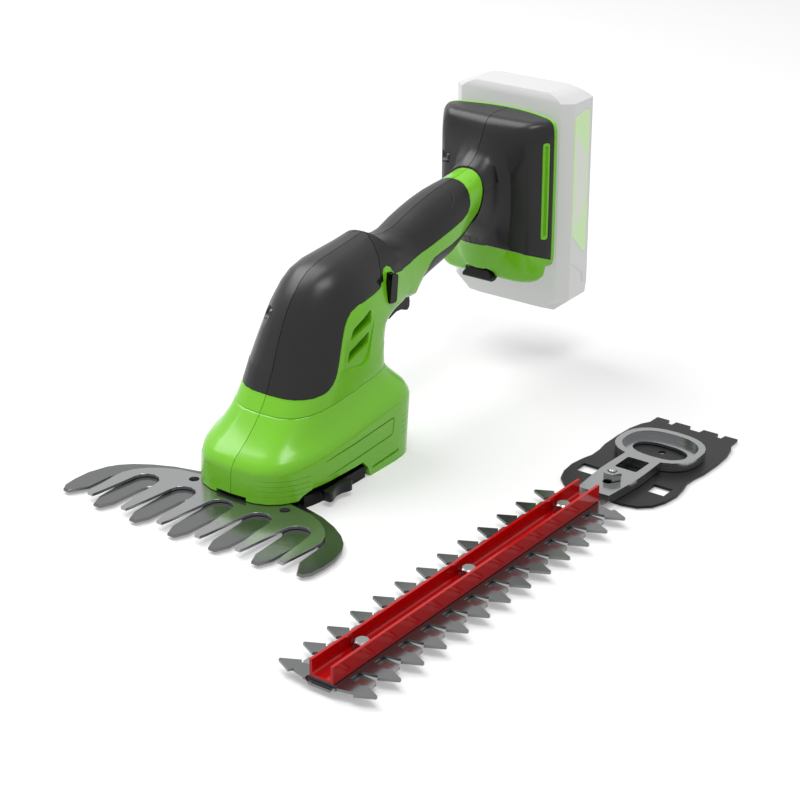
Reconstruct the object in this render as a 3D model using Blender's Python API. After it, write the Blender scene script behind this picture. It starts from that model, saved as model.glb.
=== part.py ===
"""Cordless shrub shears with a loose hedge blade, built as separate named pieces.

World frame: the floor is Z = 0, +Z up, +X towards the loose hedge blade, the grass blade
points towards -Y and the battery towards +Y. Dimensions are millimetres and are turned
into metres when a mesh is made.
"""

import math

import bmesh
import bpy
from mathutils import Matrix, Vector

MM = 0.001

# Fits shared by all pieces
GAP = 0.3
SEAM = 0.15
HALF_STEPS = 14
SHARP_ANGLE = math.radians(32)
REACH = 60.0
FAR = 240.0

# Skirted base, seen from above
BASE_FRONT = -51.0
BASE_REAR = 49.0
BASE_HALF = 32.3
BASE_FRONT_POWER = 3.1
BASE_REAR_POWER = 7.5
BASE_WALL = 2.8
SKIRT_FRONT_GAP = 5.0
CAVITY_TOP = 13.0
NOTCH_HALF = 8.8
NOTCH_TOP = 6.6
CUTOUT = [(-36.0, 5.0), (-33.6, 7.0), (-28.4, 9.0), (6.6, 9.2), (10.5, 5.1), (12.8, -1.0)]
SKIRT_SLOT = [(14.0, 3.2), (35.0, 4.4), (35.0, 5.7), (14.0, 4.5)]
SKIRT_SLOT_DEPTH = 1.0

# Head and handle: front point (y, z), rear point (y, z), half width, front and rear roundness
HEAD_RINGS = [
    (-51.0, 0.0, 49.0, 0.0, 32.3, 3.1, 7.5),
    (-49.3, 17.2, 51.4, 29.6, 32.6, 3.1, 7.5),
    (-48.2, 20.0, 51.2, 32.4, 32.1, 3.1, 7.0),
    (-45.8, 22.6, 50.2, 35.6, 30.8, 3.1, 6.4),
    (-42.4, 25.0, 48.4, 38.0, 29.0, 3.1, 5.8),
    (-38.0, 28.4, 46.4, 40.6, 27.5, 3.1, 5.2),
    (-32.0, 33.8, 44.0, 43.6, 26.1, 3.1, 4.6),
    (-28.9, 37.5, 43.2, 45.6, 25.5, 3.1, 4.4),
    (-28.1, 37.9, 42.6, 46.0, 25.0, 3.1, 4.4),
    (-28.1, 38.4, 43.0, 46.5, 25.4, 3.1, 4.4),
    (-24.0, 44.3, 43.2, 50.5, 25.1, 3.0, 4.2),
    (-21.3, 50.0, 43.8, 53.4, 24.9, 2.9, 4.0),
    (-19.2, 54.8, 44.4, 56.6, 24.8, 2.8, 3.9),
    (-18.6, 55.4, 44.6, 57.2, 24.6, 2.8, 3.8),
    (-16.2, 62.0, 45.4, 61.0, 24.4, 2.5, 3.7),
    (-12.7, 70.6, 46.8, 64.2, 24.2, 2.2, 3.6),
    (-9.7, 76.8, 48.4, 65.4, 24.0, 2.1, 3.6),
    (-6.8, 81.8, 50.2, 66.0, 23.7, 2.1, 3.6),
    (-2.7, 87.2, 52.6, 66.2, 23.1, 2.1, 3.6),
    (2.0, 92.0, 55.2, 66.3, 22.4, 2.2, 3.6),
    (8.0, 96.0, 58.0, 66.3, 21.5, 2.3, 3.8),
    (17.0, 98.8, 61.0, 66.4, 20.3, 2.4, 4.0),
    (28.0, 100.4, 64.0, 66.4, 19.0, 2.4, 4.0),
    (39.5, 101.9, 66.6, 66.5, 17.7, 2.4, 4.0),
    (50.0, 103.6, 69.2, 66.4, 16.8, 2.4, 5.0),
    (51.2, 101.6, 70.6, 66.3, 16.4, 2.3, 5.4),
    (58.0, 99.5, 74.6, 66.3, 16.0, 2.3, 5.4),
    (66.0, 98.3, 78.6, 67.4, 15.4, 2.2, 3.8),
    (74.0, 99.0, 83.2, 68.8, 15.3, 2.2, 2.5),
    (83.0, 102.0, 88.4, 70.2, 15.8, 2.2, 2.3),
    (92.0, 104.6, 93.6, 71.6, 16.0, 2.2, 2.3),
    (102.0, 107.0, 99.4, 73.0, 16.0, 2.2, 2.3),
    (112.0, 108.8, 105.6, 74.8, 15.6, 2.2, 2.3),
    (120.0, 109.7, 111.6, 77.2, 14.8, 2.2, 2.3),
    (128.0, 110.4, 118.0, 80.4, 13.5, 2.2, 2.3),
    (136.6, 112.0, 124.6, 84.6, 12.4, 2.2, 2.3),
]
TENON_HALF = 7.0
TENON_LOW = 101.6
TENON_HIGH = 109.0
TENON_START = 128.0
TENON_END = 149.0

# Side-view borders between green housing, hood, grip and under-grip
HOOD_LOWER_EDGE = [
    (-40.0, 45.8), (-22.5, 45.9), (-15.3, 46.3), (-10.3, 47.1), (-6.8, 48.4), (-4.4, 50.1),
    (-2.4, 52.5), (0.1, 57.2), (2.3, 62.8), (4.4, 68.0), (6.9, 73.4), (9.4, 77.1),
    (12.8, 79.8), (18.0, 81.6), (26.1, 82.4), (33.2, 83.2), (44.0, 85.0), (60.0, 90.0),
]
HOOD_TOP = 125.0
HOOD_FLOOR = 30.0
HOOD_REAR_PLAN = [
    (-1.0, 49.7), (2.6, 49.2), (6.2, 47.1), (11.0, 44.6), (15.0, 42.2), (18.0, 39.8),
    (19.6, 37.8), (21.4, 34.0), (26.0, 24.0),
]
GRIP_LOWER_EDGE = [
    (34.0, 84.6), (40.4, 85.8), (41.2, 89.2), (43.2, 91.0), (46.2, 91.4), (48.8, 90.0),
    (50.2, 87.2), (52.0, 85.9), (58.0, 85.3), (67.1, 86.2), (80.5, 88.9), (93.3, 91.7), (104.6, 94.0),
    (111.0, 95.3), (115.6, 97.0), (119.2, 99.8), (121.4, 103.9), (122.8, 107.2),
    (123.8, 109.4), (124.4, 112.0), (124.6, 125.0),
]
UNDERGRIP_UPPER_EDGE = [
    (160.0, 95.0), (126.0, 92.4), (120.0, 90.6), (112.0, 87.7), (102.0, 85.3), (93.4, 84.0),
    (86.6, 82.6), (84.4, 80.8), (82.4, 76.6), (79.0, 71.6), (75.2, 66.0), (73.0, 60.0),
]
UNDERGRIP_FLOOR = 60.0

# Label field and louvres on the side of the head
LABEL_FRAME = [(-29.9, 10.6), (-28.9, 19.4), (31.4, 23.6), (30.2, 14.6)]
LABEL_GROOVE = 0.7
LABEL_DEPTH = 0.6
LABEL_RADIUS = 1.8
VENT_FIELD = [(2.6, 54.0), (4.8, 62.0), (8.4, 72.6), (12.0, 76.8), (20.0, 78.8), (30.6, 79.4),
              (28.2, 73.0), (25.4, 65.0), (22.8, 56.0), (19.6, 51.8)]
VENT_FIELD_DEPTH = 0.7
VENT_FIELD_FACE = 24.2
VENT_UPPER = [(9.4, 66.6), (11.6, 71.6), (26.0, 77.4), (25.0, 70.8)]
VENT_LOWER = [(6.8, 56.2), (8.4, 61.6), (23.6, 67.2), (22.2, 61.2)]
VENT_DEPTH = 9.0

# Screw recesses, on the left side only
SCREW_HEAD_RADIUS = 2.6
SCREW_HEAD_HEIGHT = 1.8
SCREW_SHANK_RADIUS = 1.3
SCREW_LENGTH = 6.5
SCREW_RECESS_RADIUS = 3.4
HOOD_SCREW = (-4.0, 76.6, 12.0)
DOCK_SCREW = (152.8, 110.0, 23.0)
BASE_SCREW = (34.0, 34.0, 29.0)

# Motor and gear train
MOTOR_Y = 12.8
MOTOR_RADIUS = 14.5
MOTOR_LOW = 33.0
MOTOR_HIGH = 79.0
MOTOR_NECK_RADIUS = 6.5
MOTOR_NECK = 2.4
MOTOR_BORE_DEPTH = 17.0
SHAFT_RADIUS = 1.2
GEAR_MODULE = 0.8
PINION_TEETH = 10
GEAR_TEETH = 32
GEAR_ROOT_HALF = 0.62
GEAR_TIP_HALF = 0.22
GEAR_LOW = 13.4
GEAR_HIGH = 18.4
GEAR_HUB_RADIUS = 5.0
GEAR_HUB_HIGH = 19.0
ECCENTRIC_RADIUS = 13.2
ECCENTRIC_THROW = 4.0
ECCENTRIC_LOW = 5.0
GEAR_SHAFT_RADIUS = 3.0
GEAR_SHAFT_LOW = 5.4
GEAR_SHAFT_HIGH = 23.4
GEARBOX_HALF = 25.0
GEARBOX_FRONT = -28.5
GEARBOX_REAR = 30.5
GEARBOX_RADIUS = 10.0
GEARBOX_LOW = 12.9
GEARBOX_HIGH = 25.0
GEARBOX_SLEEVE_RADIUS = 16.6
COVER_LOW = 10.4
COVER_HIGH = 12.6

# Grass blade set
MOUNT_FLOOR = 1.2
MOUNT_WALL_TOP = 6.0
MOUNT_INSET = 1.0
MOUNT_FRONT = -38.0
MOUNT_REAR = 44.0
MOUNT_WALL_FRONT = -32.6
MOUNT_WALL_REAR = 9.4
MOUNT_WALL_INNER = 25.6
FIXED_LOW = 1.5
BLADE_THICK = 1.4
MOVING_LOW = 3.2
GRASS_SHIFT = 1.3
GRASS_PITCH = 23.2
FIXED_TIP_Y = -90.9
MOVING_TIP_Y = -87.6
TIP_ARC = 0.45
FIXED_GULLET_Y = -65.0
MOVING_GULLET_Y = -60.0
FIXED_TOOTH_BASE = 11.4
FIXED_TOOTH_SHOULDER = 9.4
FIXED_TIP_WIDTH = 3.8
FIXED_TIP_LENGTH = 6.4
MOVING_PITCH = 22.3
MOVING_TOOTH_BASE = 9.0
MOVING_TOOTH_SHOULDER = 4.6
MOVING_TIP_WIDTH = 3.0
MOVING_TIP_LENGTH = 4.0
FIXED_HORN = [
    (61.2, -64.0), (61.8, -77.6), (67.0, -86.0), (70.2, -86.0), (72.4, -82.4), (73.2, -75.4),
    (72.9, -67.0), (70.6, -59.2), (66.8, -53.0), (61.6, -48.0), (54.0, -43.2), (44.0, -38.8),
    (32.0, -35.8), (25.0, -33.0),
]
FIXED_REAR = 20.0
MOVING_EDGE = [
    (57.4, -84.6), (59.0, -66.0), (58.8, -60.0), (56.6, -54.8), (52.6, -50.0), (46.8, -45.8),
    (39.0, -42.2), (25.0, -39.8), (20.6, -36.0),
]
BLADE_HOLE_X = 26.9
BLADE_HOLE_Y = -46.0
BLADE_HOLE_RADIUS = 2.5
RIVET_X = 13.0
RIVET_Y = -35.0
RIVET_RADIUS = 2.0
RIVET_HEAD_RADIUS = 4.2
RIVET_HEAD_HEIGHT = 1.4
STROKE = 4.0

# Yoke rings around the eccentric, shared by both moving blades
YOKE_PLAY = 1.1
YOKE_WALL = 3.2
YOKE_RISE = 3.0
YOKE_FLANGE_LONG = 14.0
YOKE_FLANGE_SHORT = 7.5
YOKE_POWER = 2.4

# Blade release buttons at the sole
RELEASE_Y = -16.5
RELEASE_HALF_LENGTH = 8.5
RELEASE_LOW = 2.4
RELEASE_HIGH = 7.6
RELEASE_TRAVEL = 1.8
RELEASE_BACK = BASE_HALF - MOUNT_INSET + GAP + RELEASE_TRAVEL
RELEASE_FACE = RELEASE_BACK + 4.3
RELEASE_STEM_END = RELEASE_BACK - 2.8
RELEASE_STEM_HALF = 5.0
RELEASE_STEM_LOW = 3.4
RELEASE_STEM_HIGH = 5.4
RELEASE_DISH = 1.8

# Trigger, lock-off and switch
TRIGGER_HALF = 9.0
TRIGGER_OUTLINE = [
    (55.6, 72.0), (55.8, 65.4), (57.2, 59.6), (58.9, 57.9), (61.5, 59.0), (65.0, 60.1),
    (69.0, 59.9), (72.0, 58.7), (74.0, 58.1), (75.6, 59.6), (75.9, 62.5), (75.2, 66.2),
    (73.0, 73.0), (60.0, 75.6), (57.0, 74.6),
]
TRIGGER_PIVOT = (58.6, 71.6)
TRIGGER_PIN_RADIUS = 1.5
TRIGGER_POCKET = [
    (54.6, 60.0), (54.6, 74.4), (58.0, 78.0), (74.6, 78.0), (77.6, 72.0), (78.6, 66.0),
    (78.6, 60.0),
]
SWITCH_FRONT = 60.0
SWITCH_REAR = 76.0
SWITCH_LOW = 80.4
SWITCH_HIGH = 89.6
SWITCH_HALF = 6.0
LOCK_OUTLINE = [(43.2, 88.8), (46.8, 88.2), (47.7, 87.1), (46.5, 75.0), (45.6, 74.2),
                (42.0, 74.6), (41.3, 75.7)]
LOCK_FACE = 22.6
LOCK_BACK = 18.2
LOCK_STEM = (42.8, 45.6, 77.0, 86.0)
LOCK_TRAVEL = 2.0
LOCK_BOSS_GROW = 1.0
LOCK_BOSS_FACE = 19.4
LOCK_BOSS_BACK = 16.5

# Battery dock: top y and z, bottom y and z, half width, squareness
DOCK_RINGS = [
    (137.2, 113.0, 125.2, 83.8, 12.9, 2.3),
    (140.0, 114.5, 131.0, 79.8, 13.3, 2.4),
    (143.0, 116.6, 138.6, 75.6, 14.0, 2.5),
    (145.6, 119.8, 143.2, 66.0, 14.2, 2.3),
    (148.0, 124.0, 145.6, 57.0, 15.8, 2.4),
    (150.2, 128.0, 148.4, 53.6, 17.8, 2.6),
    (151.6, 130.6, 150.8, 52.0, 24.6, 6.0),
    (153.0, 132.6, 152.6, 51.0, 27.0, 8.5),
    (154.8, 133.9, 154.6, 50.4, 28.4, 10.0),
    (157.0, 134.7, 157.0, 50.1, 29.9, 11.0),
    (159.0, 135.0, 159.0, 50.4, 31.2, 12.0),
    (160.6, 135.1, 160.6, 51.4, 32.2, 12.0),
    (161.4, 135.2, 161.4, 57.6, 32.6, 13.0),
    (165.4, 135.2, 165.4, 57.6, 34.2, 14.0),
    (176.0, 135.2, 176.0, 57.6, 34.2, 14.0),
]
DOCK_STEPS = 16
DOCK_REAR = 173.9
DOCK_BOW = 8.6
RIM_THICK = 1.9
BAND_TOP = [(100.0, 76.5), (142.7, 71.1), (151.5, 67.2), (154.7, 66.1), (166.0, 61.8),
            (190.0, 53.0)]
PILL_Y = 159.8
PILL_HALF = 1.9
PILL_LOW = 73.9
PILL_HIGH = 125.1
PILL_ROOM = 29.2
PILL_GROOVE_HALF = 0.7
PILL_GROOVE_FLOOR = 31.0

# Battery and its rail block
BATTERY_FACE = 174.2
BATTERY_PART_LINE = 195.2
BATTERY_REAR = 199.0
BATTERY_SIDE_FRONT = 179.0
BATTERY_CORNER = 3.0
BATTERY_HALF = 35.5
BATTERY_LEVELS = [
    # z, face half width, side half width, front y, rear y
    (29.0, 18.6, 26.5, 178.0, 194.0),
    (36.5, 30.0, BATTERY_HALF, 175.4, 197.5),
    (42.0, 30.0, BATTERY_HALF, BATTERY_FACE, BATTERY_REAR),
    (141.0, 30.0, BATTERY_HALF, BATTERY_FACE, BATTERY_REAR),
    (143.4, 27.0, 30.0, 174.8, 198.0),
    (145.4, 22.0, 24.0, 176.0, 196.0),
]
RAIL_HALF = 21.0
RAIL_FRONT = 158.4
RAIL_LOW = 62.0
RAIL_HIGH = 124.0
RAIL_GROOVE = 3.0
RAIL_GROOVE_START = 5.0
RAIL_GROOVE_END = 9.0
CONTACT_HALF = 12.0
CONTACT_LOW = 104.0
CONTACT_DEPTH = 6.0
TERMINAL_BLADES = 4
TERMINAL_PITCH = 5.6
TERMINAL_THICK = 0.9
TERMINAL_FRONT = 156.9
TERMINAL_BACK = 167.4
TERMINAL_LOW = 124.6
TERMINAL_HIGH = 129.6
PANEL_OUTLINE = [(179.6, 133.4), (191.6, 136.2), (193.4, 134.4), (193.4, 60.4), (191.8, 59.4),
                 (179.6, 71.4)]
PANEL_THICK = 0.8
SIDE_DISH = [(179.6, 57.0), (191.6, 48.6), (193.0, 41.6), (179.6, 42.6)]
SIDE_DISH_DEPTH = 0.6

# Battery latch hanging under the dock
LATCH_HALF = 8.8
LATCH_OUTLINE = [(149.8, 58.6), (153.2, 58.6), (153.6, 54.8), (152.0, 51.4), (150.0, 50.2),
                 (146.4, 50.4), (145.8, 51.6), (147.0, 55.0)]
LATCH_ARCH = [(-8.8, 40.0), (8.8, 40.0), (8.8, 52.2), (7.4, 54.4), (4.8, 56.4), (1.6, 57.6),
              (-1.6, 57.6), (-4.8, 56.4), (-7.4, 54.4), (-8.8, 52.2)]
LATCH_PIVOT = (151.6, 56.4)
LATCH_PIN_RADIUS = 1.0
LATCH_PIN_HALF = 10.0
LATCH_LIFT = 1.3
LATCH_ROOM = 1.8

# Loose hedge blade: its own line and first tooth
HEDGE_X = 131.5
HEDGE_Y = -147.3
HEDGE_PITCH = 15.32
HEDGE_TEETH = 13
COMB_LENGTH = HEDGE_PITCH * (HEDGE_TEETH - 1)
PLATE_LOW = 0.6
PLATE_THICK = 1.4
PLATE_HALF_OUTLINE = [
    # x, y behind the last tooth
    (0.0, 16.76), (12.0, 16.96), (19.4, 18.76), (24.6, 23.56), (27.2, 30.56), (28.2, 39.16),
    (27.2, 47.16), (25.6, 53.56), (25.8, 60.16), (27.0, 67.16), (27.2, 80.16), (26.6, 90.16),
    (24.8, 97.76), (22.4, 102.16), (22.2, 109.36), (15.4, 109.36), (15.0, 105.56), (12.0, 105.56),
    (11.6, 109.36), (3.6, 109.36), (3.2, 105.76), (0.0, 105.76),
]
PLATE_HOLE = (14.4, 23.8, COMB_LENGTH + 34.76, COMB_LENGTH + 43.06)
PLATE_HOLE_RADIUS = 1.8
PLATE_HOLE_Y = COMB_LENGTH + 74.96
MOVER_LOW = 2.3
MOVER_THICK = 1.3
MOVER_TIP = 16.6
MOVER_ROOT = 7.4
MOVER_TIP_HALF = 3.0
MOVER_BASE_HALF = 3.9
MOVER_TEETH = 12
GUARD_LOW = 3.9
GUARD_THICK = 1.2
GUARD_TIP = 23.8
GUARD_BARB = 16.0
GUARD_NECK = 15.0
GUARD_ROOT = 7.8
GUARD_BARB_HALF = 4.4
GUARD_NECK_HALF = 2.8
GUARD_BASE_HALF = 4.5
GUARD_END_HALF = 6.2
GUARD_FRONT = -4.9
NOSE_FRONT = -5.2
NOSE_REAR = -3.0
NOSE_DROP = 1.5
NOSE_HALF = 7.0
NOSE_RAMP = 1.2
CHANNEL_HALF = 5.8
CHANNEL_WALL = 1.3
CHANNEL_LOW = 5.4
CHANNEL_FLOOR = 1.2
CHANNEL_TOP = 13.1
CHANNEL_START = -3.6
CHANNEL_END = COMB_LENGTH + 7.46
BOLT_PLACES = [22.3, 96.1, COMB_LENGTH - 13.84]
BOLT_RADIUS = 2.0
BOLT_HEAD_RADIUS = 3.7
BOLT_HEAD_HEIGHT = 3.4
WASHER_RADIUS = 4.3
WASHER_THICK = 0.9
NUT_HEIGHT = 1.5
NUT_LOW = 0.0
STRIP_HALF = 8.2
STRIP_SHOULDER = 10.0
STRIP_SHOULDER_LENGTH = 12.0
STRIP_NARROW = 6.4
STRIP_START = CHANNEL_END + STROKE + 2 * GAP
YOKE_Y = COMB_LENGTH + 72.76
STRIP_WINDOW = (5.8, COMB_LENGTH + 40.36, COMB_LENGTH + 52.96)
REAR_BOLT_Y = COMB_LENGTH + 28.56
STRIP_SHOULDER_START = REAR_BOLT_Y + 5.0
REAR_BOLT_TOP = 11.4
REAR_NUT_HEIGHT = 3.6
REAR_NUT_RADIUS = 4.6

# Colours read from the photo
GREEN = (0.205, 0.560, 0.032)
BLACK = (0.036, 0.036, 0.038)
SOFT_BLACK = (0.022, 0.022, 0.024)
DARK_STEEL = (0.150, 0.155, 0.160)
PALE_STEEL = (0.360, 0.370, 0.380)
CHROME = (0.620, 0.630, 0.640)
RED = (0.560, 0.012, 0.012)
PALE_GREY = (0.560, 0.565, 0.570)
PALE_GREEN = (0.440, 0.620, 0.300)
BRASS = (0.560, 0.400, 0.160)
MOTOR_GREY = (0.300, 0.300, 0.310)


def clear_scene():
    for item in list(bpy.data.objects):
        bpy.data.objects.remove(item, do_unlink=True)
    for group in (bpy.data.meshes, bpy.data.materials, bpy.data.cameras, bpy.data.lights):
        for block in list(group):
            group.remove(block)


def paint(name, colour, roughness, metallic=0.0):
    material = bpy.data.materials.new(name)
    material.use_nodes = True
    shader = material.node_tree.nodes["Principled BSDF"]
    shader.inputs["Base Color"].default_value = (*colour, 1.0)
    shader.inputs["Roughness"].default_value = roughness
    shader.inputs["Metallic"].default_value = metallic
    material.diffuse_color = (*colour, 1.0)
    return material


def solid(name, points, faces, material=None):
    """Make one object from points in millimetres, with its faces turned outwards."""
    mesh = bpy.data.meshes.new(name)
    mesh.from_pydata([Vector(p) * MM for p in points], [], faces)
    work = bmesh.new()
    work.from_mesh(mesh)
    bmesh.ops.recalc_face_normals(work, faces=work.faces)
    work.to_mesh(mesh)
    work.free()
    item = bpy.data.objects.new(name, mesh)
    bpy.context.collection.objects.link(item)
    if material:
        mesh.materials.append(material)
    return item


def placed(axis, flat, height):
    """A point of an outline drawn across one axis, at a height along that axis."""
    if axis == "X":
        return (height, flat[0], flat[1])
    if axis == "Y":
        return (flat[0], height, flat[1])
    return (flat[0], flat[1], height)


def prism(name, outline, axis, low, high, material=None):
    count = len(outline)
    points = [placed(axis, p, low) for p in outline] + [placed(axis, p, high) for p in outline]
    faces = [list(range(count)), list(range(count, 2 * count))]
    for i in range(count):
        j = (i + 1) % count
        faces.append([i, j, count + j, count + i])
    return solid(name, points, faces, material)


def box(name, x0, x1, y0, y1, z0, z1, material=None):
    return prism(name, [(x0, y0), (x1, y0), (x1, y1), (x0, y1)], "Z", z0, z1, material)


def turned(name, profile, axis, centre, steps, material=None):
    """Spin (radius, height) pairs about an axis through centre; the ends are closed flat."""
    points = []
    for radius, height in profile:
        for i in range(steps):
            angle = 2 * math.pi * (i + 0.5) / steps
            flat = (centre[0] + radius * math.cos(angle), centre[1] + radius * math.sin(angle))
            points.append(placed(axis, flat, height))
    faces = [list(range(steps)), list(range(len(points) - steps, len(points)))]
    for ring in range(len(profile) - 1):
        for i in range(steps):
            j = (i + 1) % steps
            a = ring * steps
            faces.append([a + i, a + j, a + steps + j, a + steps + i])
    return solid(name, points, faces, material)


def loft(name, rings, material=None):
    """Join rings of equal point count into one closed body."""
    count = len(rings[0])
    points = [p for ring in rings for p in ring]
    faces = [list(range(count)), list(range(len(points) - count, len(points)))]
    for k in range(len(rings) - 1):
        for i in range(count):
            j = (i + 1) % count
            a = k * count
            faces.append([a + i, a + j, a + count + j, a + count + i])
    return solid(name, points, faces, material)


def combine(target, tool, operation, keep_tool=False):
    modifier = target.modifiers.new("combine", "BOOLEAN")
    modifier.operation = operation
    modifier.solver = "EXACT"
    modifier.object = tool
    graph = bpy.context.evaluated_depsgraph_get()
    result = bpy.data.meshes.new_from_object(target.evaluated_get(graph))
    target.modifiers.clear()
    old = target.data
    result.materials.clear()
    for material in old.materials:
        result.materials.append(material)
    for face in result.polygons:
        face.material_index = 0
    target.data = result
    result.name = target.name
    bpy.data.meshes.remove(old)
    if not keep_tool:
        remove(tool)
    return target


def cut(target, tool, keep_tool=False):
    return combine(target, tool, "DIFFERENCE", keep_tool)


def join(target, tool):
    return combine(target, tool, "UNION")


def common(target, tool, keep_tool=False):
    return combine(target, tool, "INTERSECT", keep_tool)


def remove(item):
    mesh = item.data
    bpy.data.objects.remove(item, do_unlink=True)
    bpy.data.meshes.remove(mesh)


def copy_of(item, name, material=None):
    twin = item.copy()
    twin.data = item.data.copy()
    twin.name = name
    twin.data.name = name
    bpy.context.collection.objects.link(twin)
    if material:
        twin.data.materials.clear()
        twin.data.materials.append(material)
    return twin


def mirrored(item, name):
    """The same piece on the other side of the mid-plane."""
    twin = copy_of(item, name)
    twin.data.transform(Matrix.Diagonal((-1, 1, 1, 1)))
    twin.data.flip_normals()
    return twin


def cut_all(pieces, tool):
    for piece in pieces:
        cut(piece, tool, keep_tool=True)
    remove(tool)


def grown(outline, distance):
    """Move every side of a closed outline outwards by one distance."""
    area = 0.0
    count = len(outline)
    for i in range(count):
        j = (i + 1) % count
        area += outline[i][0] * outline[j][1] - outline[j][0] * outline[i][1]
    side = 1.0 if area > 0 else -1.0
    result = []
    for i in range(count):
        before = Vector(outline[i - 1])
        here = Vector(outline[i])
        after = Vector(outline[(i + 1) % count])
        first = (here - before).normalized()
        second = (after - here).normalized()
        normal_a = Vector((first.y, -first.x)) * side
        normal_b = Vector((second.y, -second.x)) * side
        middle = (normal_a + normal_b).normalized()
        reach = distance / max(0.35, middle.dot(normal_a))
        result.append(tuple(here + middle * reach))
    return result


def rounded(outline, radius, steps=3):
    """Round each corner of an outline with a short run of points."""
    result = []
    count = len(outline)
    for i in range(count):
        here = Vector(outline[i])
        to_before = Vector(outline[i - 1]) - here
        to_after = Vector(outline[(i + 1) % count]) - here
        reach = min(radius, to_before.length * 0.45, to_after.length * 0.45)
        start = here + to_before.normalized() * reach
        end = here + to_after.normalized() * reach
        for k in range(steps + 1):
            t = k / steps
            point = start * (1 - t) ** 2 + here * 2 * t * (1 - t) + end * t ** 2
            result.append(tuple(point))
    return result


def circle(centre, radius, steps):
    return [
        (centre[0] + radius * math.cos(2 * math.pi * (i + 0.5) / steps),
         centre[1] + radius * math.sin(2 * math.pi * (i + 0.5) / steps))
        for i in range(steps)
    ]


def signed_power(value, power):
    return math.copysign(abs(value) ** power, value)


def oval(centre, half_x, half_y, power, steps):
    points = []
    for i in range(steps):
        angle = 2 * math.pi * i / steps
        x = centre[0] + half_x * signed_power(math.cos(angle), 2 / power)
        y = centre[1] + half_y * signed_power(math.sin(angle), 2 / power)
        points.append((x, y))
    return points


def two_sided(half):
    """Close a half outline, given from the mid line out and back, with its mirror image."""
    mirror = [(-x, y) for x, y in reversed(half) if abs(x) > 1e-6]
    return list(half) + mirror


def rectangle(x0, x1, y0, y1):
    return [(x0, y0), (x1, y0), (x1, y1), (x0, y1)]


def base_half_width(y, inset):
    """Half width of the skirt at a place along it, less an inset all round."""
    middle = (BASE_FRONT + BASE_REAR) / 2
    reach = (BASE_REAR - BASE_FRONT) / 2 - inset
    power = BASE_FRONT_POWER if y < middle else BASE_REAR_POWER
    share = min(1.0, abs(y - middle) / reach)
    return (BASE_HALF - inset) * (1 - share ** power) ** (1 / power)


def base_outline(inset, front, rear, steps):
    """Skirt plan between two places along Y, as a closed outline."""
    half = []
    for i in range(steps + 1):
        y = front + (rear - front) * (0.5 - 0.5 * math.cos(math.pi * i / steps))
        half.append((max(0.01, base_half_width(y, inset)), y))
    return half + [(-x, y) for x, y in reversed(half)]


def head_ring(front_y, front_z, rear_y, rear_z, half_width, front_power, rear_power):
    points = []
    for step in range(HALF_STEPS + 1):
        angle = math.pi * step / HALF_STEPS
        power = front_power if step * 2 < HALF_STEPS else rear_power
        along = signed_power(math.cos(angle), 2 / power)
        across = half_width * abs(math.sin(angle)) ** (2 / power)
        y = (front_y + rear_y) / 2 + along * (front_y - rear_y) / 2
        z = (front_z + rear_z) / 2 + along * (front_z - rear_z) / 2
        points.append((max(SEAM, across), y, z))
    return points


def head_form():
    """Right half of the whole head and handle as one body, before it is shared out."""
    form = loft("form", [head_ring(*ring) for ring in HEAD_RINGS])
    tenon = box("tenon", SEAM, TENON_HALF, TENON_START, TENON_END, TENON_LOW, TENON_HIGH)
    return join(form, tenon)


def hood_tool(extra):
    """Everything that belongs to the hood: above its lower edge, ahead of its rear edge."""
    side = HOOD_LOWER_EDGE + [(60.0, HOOD_TOP), (-40.0, HOOD_TOP)]
    plan = HOOD_REAR_PLAN + [(REACH, 24.0), (REACH, -60.0), (-1.0, -60.0)]
    tool = side_prism(grown(side, extra) if extra else side)
    above = prism("above", grown(plan, extra) if extra else plan, "Z", HOOD_FLOOR, HOOD_TOP + 5.0)
    return common(tool, above)


def grip_outline():
    return GRIP_LOWER_EDGE + [(34.0, HOOD_TOP)]


def undergrip_outline():
    return UNDERGRIP_UPPER_EDGE + [(160.0, UNDERGRIP_FLOOR)]


def side_prism(outline, low=-1.0, high=REACH):
    return prism("tool", outline, "X", low, high)


def build_shells(green, black, soft):
    form = head_form()
    hood = common(copy_of(form, "hood_right", black), hood_tool(0.0))
    grip = common(copy_of(form, "grip_right", soft), side_prism(grip_outline()))
    cut(grip, hood_tool(GAP))
    under = common(copy_of(form, "undergrip_right", soft), side_prism(undergrip_outline()))
    housing = copy_of(form, "housing_right", green)
    remove(form)
    cut(housing, hood_tool(GAP))
    for outline in (grip_outline(), undergrip_outline()):
        cut(housing, side_prism(grown(outline, GAP)))
    return housing, hood, grip, under


def open_base(housing):
    """Hollow the skirt from below and cut its openings."""
    cavity = base_outline(BASE_WALL, BASE_FRONT + BASE_WALL, BASE_REAR - BASE_WALL, 24)
    cut(housing, prism("tool", cavity, "Z", -1.0, CAVITY_TOP))
    opening = [(BASE_FRONT - 9.0, -1.0), (BASE_FRONT - 9.0, SKIRT_FRONT_GAP)] + CUTOUT
    cut(housing, side_prism(opening, low=-1.0, high=REACH))
    cut(housing, box("tool", -1.0, NOTCH_HALF, BASE_FRONT - 9.0, BASE_FRONT + 9.0,
                     -1.0, NOTCH_TOP))
    cut(housing, side_prism(SKIRT_SLOT, low=BASE_HALF - SKIRT_SLOT_DEPTH))


def gearbox_plan(extra):
    corners = rectangle(-GEARBOX_HALF, GEARBOX_HALF, GEARBOX_FRONT, GEARBOX_REAR)
    return rounded(grown(corners, extra), GEARBOX_RADIUS + extra, 4)


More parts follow.
